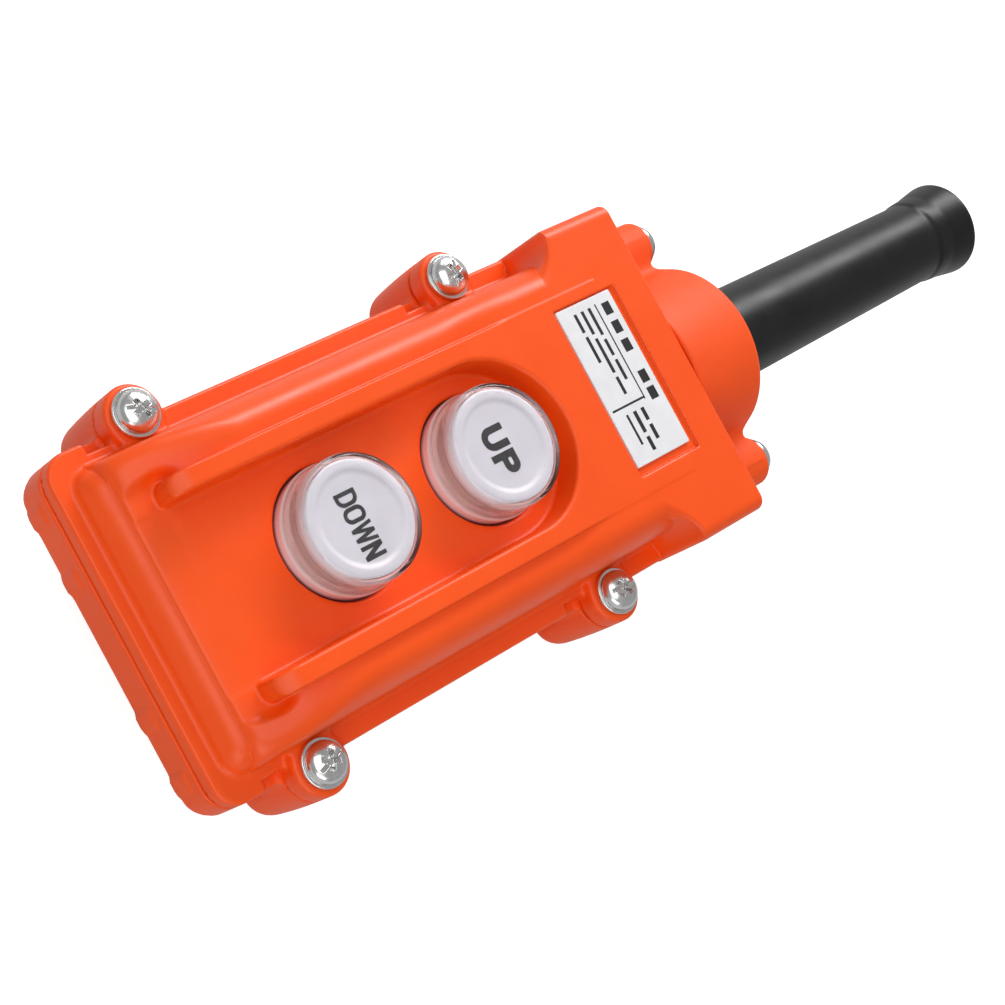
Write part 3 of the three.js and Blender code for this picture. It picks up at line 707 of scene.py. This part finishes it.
def cover_body(x, y, z):
    side = np.abs(x) + DRAFT * (z - FLANGE_TOP) - BODY_HALF
    front = (RIM_END + FRONT_INSET - y + 0.14 * (z - FLANGE_TOP)) * 0.99
    top = (z - ridge_z(y)) * 0.75
    bevel = (z - bevel_z(y) - BEVEL_LIFT) * 0.94
    body = round_common(round_common(side, top, SHOULDER_ROUND), bevel, 2.0)
    body = cut(body, nose_scoop(x, y, z), 0.8)
    body = round_union(body, cover_ribs(x, y, z), 0.35)
    body = cut(body, trough(x, y, z), 0.8)
    ends = round_common(side - FRONT_ROUND, front, CORNER_ROUND)
    body = round_common(body, ends, FRONT_ROUND)
    return np.maximum(body, y - (HEAD_START + 6))


def cover_lugs(x, y, z):
    lugs = None
    for row in SCREW_ROWS:
        post = disc(np.abs(x) - SCREW_X, y - row, LUG_R)
        web = common(slab(y, row - LUG_WEB_HALF, row + LUG_WEB_HALF), slab(np.abs(x), 27, SCREW_X))
        lug = common(union(post, web, 1.5), z - LUG_TOP, 1.0)
        lugs = lug if lugs is None else union(lugs, lug)
    return lugs


def cover_hollow(x, y, z):
    """The space inside the cover: beside the ribs, under the floor and nose, and in the head."""
    ax = np.abs(x)
    inner = BODY_HALF - WALL - 0.8
    deep = common(slab(ax, RIB_INNER + WALL, inner), z - (SHOULDER_Z - WALL - 0.6), 4)
    under = common(ax - inner, z - (FLOOR_Z - WALL))
    body = common(union(deep, under), slab(y, CREASE_Y + 2, HEAD_START - 3))
    nose = common(common(ax - inner, z - 37.4), slab(y, RIM_END + 6, CREASE_Y + 3))
    head = np.maximum(ax - (FLANGE_HALF - WALL), z - (HEAD_TOP - WALL))
    head = common(head, slab(y, HEAD_START + 2.5, HEAD_END + 3), 1)
    throat = np.maximum(ax - (BODY_HALF - WALL - 1), z - (HEAD_TOP - WALL - 1))
    throat = common(throat, slab(y, BUTTONS["up"][1] + RIB_INNER + WALL, HEAD_START + 3))
    return union(union(union(body, nose), head), throat)


def cover_flange(x, y, z):
    flange = plate(x, y, -FLANGE_HALF, RIM_END, FLANGE_HALF, HEAD_END, FLANGE_ROUND)
    flange = round_common(flange, z - FLANGE_TOP, 0.7)
    for row in SCREW_ROWS:
        notch = common(30.6 - np.abs(x), slab(y, row - 10.5, row))
        flange = cut(flange, notch, 0.6)
    return flange


def label_seat(x, y, z):
    seat = plate(x, y, LABEL_LOW[0] - 0.3, LABEL_LOW[1] - 0.3,
                 LABEL_HIGH[0] + 1.6, LABEL_HIGH[1] + 1.6, 0.4)
    return common(seat, LABEL_LOW[2] - FIT - z)


def front_cover(x, y, z):
    cover = round_union(cover_flange(x, y, z), cover_body(x, y, z), 0.8)
    cover = union(cover, cover_head(x, y, z))
    cover = union(cover, cover_lugs(x, y, z), 1.2)
    cover = cut(cover, cover_hollow(x, y, z), 0.5)
    for button_at in BUTTONS.values():
        cover = cut(cover, disc(x, y - button_at[1], HOLE_R), 0.8)
    for row in SCREW_ROWS:
        cover = cut(cover, disc(np.abs(x) - SCREW_X, y - row, SCREW_HOLE_R))
    cover = cut(cover, label_seat(x, y, z), 0.4)
    return common(cover, PARTING_Z - FIT - z)


# ---- rear housing ---------------------------------------------------------------------------
def tub(x, y, z, inset):
    """The housing below its rim, with the sloped bottom end; inset gives its inner surface."""
    side = np.abs(x) - 30.8 + inset - 0.06 * (z - RIM_TOP)
    end = (-(y - RIM_END) + 0.2 + inset * 1.25 - 0.78 * np.minimum(z - RIM_BOTTOM, 0)) * 0.79
    far = y - (HEAD_END - FIT - inset)
    body = common(side, inset - z, 7 - inset)
    body = common(body, end, 4)
    return common(body, far, 3)


def bottom_ribs(x, y, z):
    ribs = None
    for at in BOTTOM_RIB_X:
        lo = (at - BOTTOM_RIB_HALF, HOUSING_END, RIM_BOTTOM)
        hi = (at + BOTTOM_RIB_HALF, RIM_END + 2, RIM_BOTTOM + 5.4)
        rib = box(np.abs(x), y, z, lo, hi, 0.7)
        ribs = rib if ribs is None else np.minimum(ribs, rib)
    return ribs


def screw_column(x, y, z, row):
    taper = np.clip((RIM_TOP - z) / 19, 0, 1)
    post = disc(np.abs(x) - SCREW_X, y - row, LUG_R - 1.0 * taper**2)
    post = common(post, 13 - z, 5)
    web = common(slab(y, row - COLUMN_WEB_HALF, row + COLUMN_WEB_HALF), slab(np.abs(x), 28.9, SCREW_X))
    web = common(web, 16 - z, 4)
    return common(union(post, web, 2.0), z - RIM_TOP)


def rear_housing(x, y, z):
    ax = np.abs(x)
    rim = plate(x, y, -FLANGE_HALF, RIM_END, FLANGE_HALF, HEAD_END - FIT, FLANGE_ROUND)
    rim = common(rim, RIM_BOTTOM - z, 1.2)
    shell = union(rim, tub(x, y, z, 0), 1.6)
    shell = union(shell, bottom_ribs(x, y, z), 0.8)
    shell = common(shell, z - RIM_TOP, 0.3)
    cavity = common(tub(x, y, z, WALL), RIM_END + WALL - y, 2)
    shell = cut(shell, cavity, 0.5)
    for row in SCREW_ROWS:
        shell = union(shell, screw_column(x, y, z, row), 1.5)
    lo, hi = (-29.7, HEAD_END - 3.1, 3), (29.7, HEAD_END - FIT, HEAD_TOP - WALL - 0.3)
    shell = union(shell, box(x, y, z, lo, hi, 1), 0.8)
    shell = cut(shell, np.maximum(disc(x, z - NECK_Z, BORE_R), -y), 0.5)
    for row in SCREW_ROWS:
        shell = cut(shell, np.maximum(disc(ax - SCREW_X, y - row, INSERT_HOLE_R), 15 - z))
    ear_x = GLAND_SCREWS[1][0]
    boss = np.maximum(disc(ax - ear_x, z - NECK_Z, 4.6), slab(y, 4, HEAD_END - 0.2))
    shell = union(shell, boss, 0.8)
    shell = cut(shell, np.maximum(disc(ax - ear_x, z - NECK_Z, INSERT_HOLE_R), 5 - y))
    return np.maximum(shell, HOUSING_END + 0.02 - y)


# ---- cable gland ----------------------------------------------------------------------------
def gland_cap(x, y, z):
    zz = z - NECK_Z
    ear_x = np.abs(x) - GLAND_SCREWS[1][0]
    neck = round_common(disc(x, zz, NECK_R), y - GLAND_END, 1.6)
    ear = round_common(disc(ear_x, zz, EAR_R), y - GLAND_END, 0.7)
    web = common(np.maximum(np.abs(zz) - 4.4, ear_x), y - (GLAND_END - 2.2), 1.0)
    cap = union(union(neck, ear, 1.0), web, 2.0)
    cap = common(cap, GLAND_START - y, 0.6)
    cap = cut(cap, disc(x, zz, BORE_R), 0.6)
    cap = cut(cap, np.maximum(disc(x, zz, COLLAR_R), y - (GLAND_START + 3.6)))
    return cut(cap, disc(ear_x, zz, SCREW_HOLE_R))


def build_shells():
    fine, mid, coarse = 0.42, 0.6, 1.1
    half = [(0, 0.9), (15.4, fine), (21.4, mid), (40, 0)]
    across = np.concatenate([-ticks(*half)[:0:-1], ticks(*half)])
    along = ticks((RIM_END - 1.5, 0.5), (CREASE_Y + 4, coarse),
                  (HEAD_START - 20, 0.5), (HEAD_END + 1.5, 0))
    upward = ticks((PARTING_Z - 1.3, 0.7), (FLANGE_TOP - 1, 0.45), (HEAD_TOP + 1.2, 0))
    cover = moulded("cover_shell", front_cover, [across, along, upward])
    place(cover, "housing", ORANGE, "orange_plastic", "front_cover")
    axes = even(low("rear_housing"), high("rear_housing"), 0.85)
    housing = moulded("housing_shell", rear_housing, axes)
    place(housing, "housing", ORANGE, "orange_plastic", "rear_housing")
    gland = moulded("gland_shell", gland_cap, even(low("gland_cap"), high("gland_cap"), 0.5))
    place(gland, "housing", ORANGE_MATT, "orange_plastic", "gland_cap")


# ---- cable sleeve ---------------------------------------------------------------------------
def build_sleeve():
    end = high("cable_sleeve")[1]
    start = low("cable_sleeve")[1]
    tip = SLEEVE_TIP_R
    outline = [
        (SLEEVE_BORE_R, start), (SLEEVE_NECK_R, start), (SLEEVE_NECK_R, GLAND_START),
        (SLEEVE_COLLAR_R, GLAND_START), (SLEEVE_COLLAR_R, GLAND_START + 3.3),
        (SLEEVE_NECK_R, GLAND_START + 3.3), (SLEEVE_NECK_R, GLAND_END),
        (tip, end - 11.6), (tip + 0.35, end - 10.6), (tip + 0.5, end - 8.4), (tip + 0.55, end - 7.0),
        (tip + 0.85, end - 5.2), (tip + 1.45, end - 1), (tip + 1.45, end - 0.3), (tip + 1.2, end),
        (7, end), (SLEEVE_BORE_R, end - 1), (SLEEVE_BORE_R, start)]
    sleeve = turned("sleeve_tube", soften(outline, 1.2), (0, 0, NECK_Z), "Y", 96)
    place(sleeve, "housing", BLACK_RUBBER, "black_rubber", "cable_sleeve")


# ---- fasteners ------------------------------------------------------------------------------
def screw_head(head_r, head_h, shank_r, length):
    """Distance field of a pan-head screw with a crossed recess and a slot, seat at z = 0."""
    def field(x, y, z):
        r = np.hypot(x, y)
        dome = np.sqrt(r * r + (z + head_r * 1.5 - head_h) ** 2) - head_r * 1.5
        head = common(common(r - head_r, dome, 0.9), -z, 0.3)
        shank = common(r - shank_r, slab(z, -length, 0.2), 0.6)
        screw = union(head, shank)
        for a, b in ((x, y), (y, x)):
            reach = head_r * (0.52 + 0.16 * (z - head_h))
            arm = common(np.abs(b) - head_r * 0.125, np.abs(a) - reach)
            screw = cut(screw, np.maximum(arm, head_h * 0.36 - z), 0.12)
        slot = np.maximum(np.abs(x - y) / 1.414 - head_r * 0.09, head_h * 0.72 - z)
        return cut(screw, slot, 0.1)
    return field


def washer_outline(inner, outer, z0, z1):
    return soften([(inner, z0), (outer, z0), (outer, z1), (inner, z1), (inner, z0)], 0.25)


def first_screw():
    """The first screw, whose mesh all six screws share."""
    field = screw_head(SCREW_HEAD_R, SCREW_HEAD_H, SCREW_SHANK_R, SCREW_LENGTH)
    row = ticks((-4.2, 0.14), (4.2, 0))
    along = ticks((-21.4, 0.8), (-0.6, 0.12), (2.8, 0))
    return moulded("cover_screw_head_1", field, [row, row, along])


def place_screw(screw, node, at, turn):
    screw.matrix_world = Matrix.Translation(Vector([float(v) * MM for v in at])) @ turn
    place(screw, "housing", STEEL, "plated_steel", node)


def place_washer(node, outer, at, axis):
    a = "XYZ".index(axis)
    outline = washer_outline(WASHER_BORE_R, outer, low(node)[a], high(node)[a])
    name = node.replace("washer_", "washer_ring_")
    place(turned(name, outline, at, axis, 72), "housing", STEEL, "plated_steel", node)


def another(name, mesh):
    made = bpy.data.objects.new(name, mesh)
    bpy.context.scene.collection.objects.link(made)
    return made


def build_fasteners():
    first = first_screw()
    for i, at in enumerate(SCREWS, 1):
        node = f"cover_screw_{i}"
        screw = first if i == 1 else another(f"cover_screw_head_{i}", first.data)
        seat = low(node)[2] + COVER_SCREW_SEAT
        turn = Matrix.Rotation(radians(SCREW_TURNS[i - 1]), 4, "Z")
        place_screw(screw, node, (at[0], at[1], seat), turn)
        place_washer(f"cover_washer_{i}", COVER_WASHER_R, at, "Z")
    lying = Matrix.Rotation(radians(-90), 4, "X") @ Matrix.Scale(GLAND_HEAD_R / SCREW_HEAD_R, 4)
    for i, at in enumerate(GLAND_SCREWS, 1):
        node = f"gland_screw_{i}"
        screw = another(f"gland_screw_head_{i}", first.data)
        seat = low(node)[1] + GLAND_SCREW_SEAT
        place_screw(screw, node, (at[0], seat, at[2]), lying)
        place_washer(f"gland_washer_{i}", GLAND_WASHER_R, at, "Y")


# ---- buttons --------------------------------------------------------------------------------
def build_cap(name):
    y = BUTTONS[name][1]
    bottom = low(f"{name}_button_cap")[2]
    top = CAP_TOP
    stem, under_top = CAP_R - CAP_STEM_INSET, top - CAP_HOLLOW
    outline = [
        (CAP_BORE_R, bottom), (stem, bottom), (stem, under_top), (CAP_R, top - 2.2), (CAP_R, top),
        (CAP_R - 1.7, top), (CAP_R - 2.5, top - CAP_DISH), (0, top - CAP_DISH)]
    rounding = [0, 0.3, 0.3, 0.4, 0.6, 0.5, 0.6, 0]
    under = [(0, under_top), (CAP_BORE_R, under_top), (CAP_BORE_R, bottom)]
    cap = turned(f"{name}_cap", soften(outline, rounding, 6) + under, (0, y, 0), "Z", 128)
    place(cap, f"{name}_button", WHITE, "white_plastic", f"{name}_button_cap")


def stroke(x, y, p, q, width):
    """Field of a straight stroke with square ends."""
    p, q = np.array(p), np.array(q)
    length = np.linalg.norm(q - p)
    ux, uy = (q - p) / length
    s = (x - p[0]) * ux + (y - p[1]) * uy
    t = (y - p[1]) * ux - (x - p[0]) * uy
    return np.maximum(slab(s, 0, length), np.abs(t) - width / 2)


def bowl(x, y, cx, cy, a, b, width):
    """Field of an oval band with half sizes a and b."""
    r = min(a, b)
    dx, dy = np.abs(x - cx) - (a - r), np.abs(y - cy) - (b - r)
    d = np.hypot(np.maximum(dx, 0), np.maximum(dy, 0)) + np.minimum(np.maximum(dx, dy), 0) - r
    return np.abs(d + width / 2) - width / 2


def letter(which, x, y, w, h, t):
    """Field of one plain capital in a box w by h, with strokes t wide."""
    m = t / 2
    if which == "U":
        return np.maximum(bowl(x, y, w / 2, h, w / 2, h, t), y - h)
    if which == "O":
        return bowl(x, y, w / 2, h / 2, w / 2, h / 2, t)
    if which == "D":
        arc = np.maximum(bowl(x, y, w / 2 - w * 0.1, h / 2, w * 0.6, h / 2, t), w * 0.35 - x)
        foot = stroke(x, y, (0, m), (w * 0.4, m), t)
        bars = np.minimum(foot, stroke(x, y, (0, h - m), (w * 0.4, h - m), t))
        return np.minimum(np.minimum(arc, bars), stroke(x, y, (m, 0), (m, h), t))
    if which == "P":
        mid = h * 0.68
        r = h - mid
        arc = np.maximum(bowl(x, y, w - r - 0.2, mid, r + 0.2, r, t), w - r - 0.4 - x)
        waist = stroke(x, y, (0, mid - r + m), (w - r, mid - r + m), t)
        bars = np.minimum(waist, stroke(x, y, (0, h - m), (w - r, h - m), t))
        return np.minimum(np.minimum(arc, bars), stroke(x, y, (m, 0), (m, h), t))
    if which == "N":
        slant = np.maximum(stroke(x, y, (m, h), (w - m, 0), t * 1.05), slab(y, 0, h))
        posts = np.minimum(stroke(x, y, (m, 0), (m, h), t), stroke(x, y, (w - m, 0), (w - m, h), t))
        return np.minimum(slant, posts)
    feet = [(m * 0.9, h), (w * 0.27, 0), (w * 0.5, h), (w * 0.73, 0), (w - m * 0.9, h)]
    zigzag = [stroke(x, y, (a[0], a[1]), (b[0], b[1]), t * 0.86) for a, b in zip(feet, feet[1:])]
    ends = [stroke(x, y, (a[0], a[1] - 0.4), (a[0], a[1]), t * 0.86) for a in feet]
    return np.maximum(np.min(np.broadcast_arrays(*zigzag, *ends), axis=0), slab(y, 0, h))


def build_legend(name, widths, height, thick, gap, shift):
    """The word on the cap, as a thin layer of ink."""
    total = sum(widths) + gap * (len(widths) - 1)
    x0 = shift[0] - total / 2
    y0 = BUTTONS[name][1] + shift[1] - height / 2
    z0 = CAP_TOP - CAP_DISH - 0.02

    def field(x, y, z):
        start, word = x0, None
        for which, width in zip(name.upper(), widths):
            shape = letter(which, x - start, y - y0, width, height, thick)
            word = shape if word is None else np.minimum(word, shape)
            start += width + gap
        return np.maximum(word, slab(z, z0, z0 + INK_THICK))

    axes = [ticks((x0 - 0.3, 0.09), (x0 + total + 0.3, 0)),
            ticks((y0 - 0.3, 0.09), (y0 + height + 0.3, 0)),
            ticks((z0 - 0.06, 0.05), (z0 + 0.14, 0))]
    legend = moulded(f"{name}_legend_ink", field, axes)
    place(legend, f"{name}_button", INK, "black_plastic")


def build_boot(name):
    y = BUTTONS[name][1]
    base, top = low(f"{name}_rain_boot")[2], high(f"{name}_rain_boot")[2]
    lip, upper = base + BOOT_FLANGE_THICK, BOOT_R - 0.35
    outline = [
        (BOOT_SEAT_R, base), (BOOT_FLANGE_R, base), (BOOT_FLANGE_R, lip), (BOOT_R - 0.1, lip),
        (BOOT_R, FLOOR_Z), (BOOT_R + 0.15, FLOOR_Z + 1.8), (upper, FLOOR_Z + 2.4), (upper, top), (0, top)]
    rounding = [0, 0.3, 0.3, 0.3, 0.4, 0.5, 0.4, 1.3, 0]
    inside = [(0, top - BOOT_SKIN), (BOOT_INNER_R, top - BOOT_SKIN), (BOOT_INNER_R, top - 3.6),
              (BOOT_SEAT_R, top - 4.6), (BOOT_SEAT_R, base)]
    profile = soften(outline, rounding, 7) + soften(inside, [0, 0.9, 0.6, 0.6, 0], 6)
    boot = turned(f"{name}_boot", profile, (0, y, 0), "Z", 128)
    boot.data.materials.append(CLEAR)
    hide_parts(f"{name}_rain_boot")
    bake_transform(boot)


def coil(centre, radius, bottom, top):
    """Points and faces of a spring's wire, which climbs less near its two ends."""
    steps, around = 40 * COILS, 10
    points = []
    for i in range(steps + 1):
        t = i / steps
        climb = sweep((t - 0.12) / 0.76) * 0.9 + 0.1 * t
        turn = tau * COILS * t
        out = np.array([cos(turn), sin(turn), 0])
        middle_at = out * radius + np.array([0, centre, bottom + (top - bottom) * climb])
        for j in range(around):
            a = tau * j / around
            points.append(middle_at + WIRE_R * (cos(a) * out + sin(a) * np.array([0, 0, 1])))
    faces = []
    for i in range(steps):
        one, two = i * around, (i + 1) * around
        faces += [(one + j, one + (j + 1) % around, two + (j + 1) % around, two + j)
                  for j in range(around)]
    faces += [tuple(range(around))[::-1], tuple(steps * around + j for j in range(around))]
    return points, faces


def build_spring(name):
    """A coil spring, from its seat up to the contact bridge."""
    y = BUTTONS[name][1]
    lo, hi = low(f"{name}_return_spring"), high(f"{name}_return_spring")
    radius = (hi[0] - lo[0]) / 2 - WIRE_R
    bottom, top = lo[2] + WIRE_R, low(f"{name}_contact_bridge")[2] - FIT - WIRE_R
    spring = add_mesh(f"{name}_spring_coil", *coil(y, radius, bottom, top))
    place(spring, "housing", STEEL, "plated_steel", f"{name}_return_spring")
    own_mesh(spring)


# ---- label ----------------------------------------------------------------------------------
def bar(x0, x1, y0, y1):
    """A printed bar on the label, measured from its lower left corner."""
    z = LABEL_HIGH[2]
    x, y = LABEL_LOW[0], LABEL_LOW[1]
    corners = [(x + x0, y + y0), (x + x1, y + y0), (x + x1, y + y1), (x + x0, y + y1)]
    points = [(a, b, z - PRINT_THICK) for a, b in corners] + [(a, b, z) for a, b in corners]
    sides = [(i, (i + 1) % 4, 4 + (i + 1) % 4, 4 + i) for i in range(4)]
    return points, [(3, 2, 1, 0), (4, 5, 6, 7)] + sides


def label_bars(width):
    """Printed blocks, a ruled corner and rows of bars, each as (x0, x1, y0, y1)."""
    bars = [(2 + 3.9 * i, 4.5 + 3.9 * i, 11.1, 13.1) for i in (0, 1, 2, 3.7, 4.6)]
    bars += [(1.6, width - 11, 9.5, 9.8), (width - 11.6, width - 11.2, 0.9, 9.5)]
    left, right = 1.8, width - 9.8
    rows = (
        (left, 7.5, 0.75, (5.6, 3.4, 4.2)), (left, 5.6, 0.75, (4.8, 7.2, 3.6)),
        (left, 3.7, 0.75, (3.8, 5.4)), (right, 7.4, 0.9, (2.6, 3.0)),
        (right, 5.3, 0.9, (4.4, 2.8)), (right, 3.4, 0.55, (6.2,)))
    for start, y, tall, lengths in rows:
        for length in lengths:
            bars.append((start, start + length, y, y + tall))
            start += length + 0.9
    return bars


def build_label():
    lo, hi = LABEL_LOW, LABEL_HIGH
    film_top = hi - np.array([0, 0, PRINT_THICK])
    film = moulded(
        "label_film_plate", lambda x, y, z: box(x, y, z, lo, film_top, 0.15), even(lo, hi, 0.25))
    place(film, "housing", FILM, "label_white", "label_plate")
    points, faces = [], []
    for item in label_bars(hi[0] - lo[0]):
        corners, sides = bar(*item)
        faces += [tuple(v + len(points) for v in side) for side in sides]
        points += corners
    ink = add_mesh("label_bars", points, faces)
    ink.data.polygons.foreach_set("use_smooth", [False] * len(ink.data.polygons))
    place(ink, "housing", INK, "black_plastic")


# ---- hidden works ---------------------------------------------------------------------------
def paint_inner_pieces():
    looks = {"grey_rubber": GREY_RUBBER, "brass": BRASS, "plated_steel": STEEL,
             "black_plastic": BLACK, "white_plastic": WHITE}
    for part in frame["record"]["subparts"]:
        node = frame["nodes"][part["node"]]
        look = looks.get(part["material_slot"])
        if look and not node.hide_render:
            for holder in node.material_slots:
                holder.material = look


# ---- studio ---------------------------------------------------------------------------------
def aim(thing, target, roll=0.0):
    look = (Vector(target) - thing.location).to_track_quat("-Z", "Y")
    thing.rotation_mode = "QUATERNION"
    thing.rotation_quaternion = look @ Quaternion((0, 0, 1), roll)


def lamp(name, place_at, size, power, target=(0, 0, 0.03)):
    data = bpy.data.lights.new(name, "AREA")
    data.shape = "RECTANGLE"
    data.size, data.size_y = size
    data.energy = power
    made = bpy.data.objects.new(name, data)
    made.location = place_at
    bpy.context.scene.collection.objects.link(made)
    aim(made, target)


def build_studio():
    scene = bpy.context.scene
    camera = bpy.data.objects.new("camera", bpy.data.cameras.new("camera"))
    scene.collection.objects.link(camera)
    camera.data.lens = CAMERA_LENS
    camera.data.sensor_width = 36
    camera.location = CAMERA_AT
    aim(camera, CAMERA_TARGET, radians(CAMERA_ROLL))
    scene.camera = camera
    floor = bpy.data.objects.new("floor", bpy.data.meshes.new("floor"))
    half = FLOOR_HALF
    corners = [(-half, -half, 0), (half, -half, 0), (half, half, 0), (-half, half, 0)]
    floor.data.from_pydata(corners, [], [(0, 1, 2, 3)])
    floor.data.materials.append(pale_floor())
    scene.collection.objects.link(floor)
    world = bpy.data.worlds.new("studio")
    world.use_nodes = True
    background = world.node_tree.nodes["Background"]
    background.inputs["Color"].default_value = (1, 1, 1, 1)
    background.inputs["Strength"].default_value = WORLD_LIGHT
    scene.world = world
    scene.view_settings.view_transform = "Standard"
    lamp("key", (-0.72, 0.7, 0.6), (0.9, 0.3), 10.4)
    lamp("front", (-0.1, -0.5, 1.25), (1.3, 0.8), 6.1)
    lamp("side", (0.75, -0.75, 0.5), (0.8, 0.6), 3.2)


build_studio()
build_shells()
build_sleeve()
build_fasteners()
for button in BUTTONS:
    build_cap(button)
    build_boot(button)
    build_spring(button)
build_legend("up", (4.5, 4.3), 5.5, 1.4, 0.6, (0.5, -1.1))
build_legend("down", (2.75, 2.95, 3.75, 2.7), 4.6, 0.8, 0.15, (0.9, -0.7))
build_label()
paint_inner_pieces()
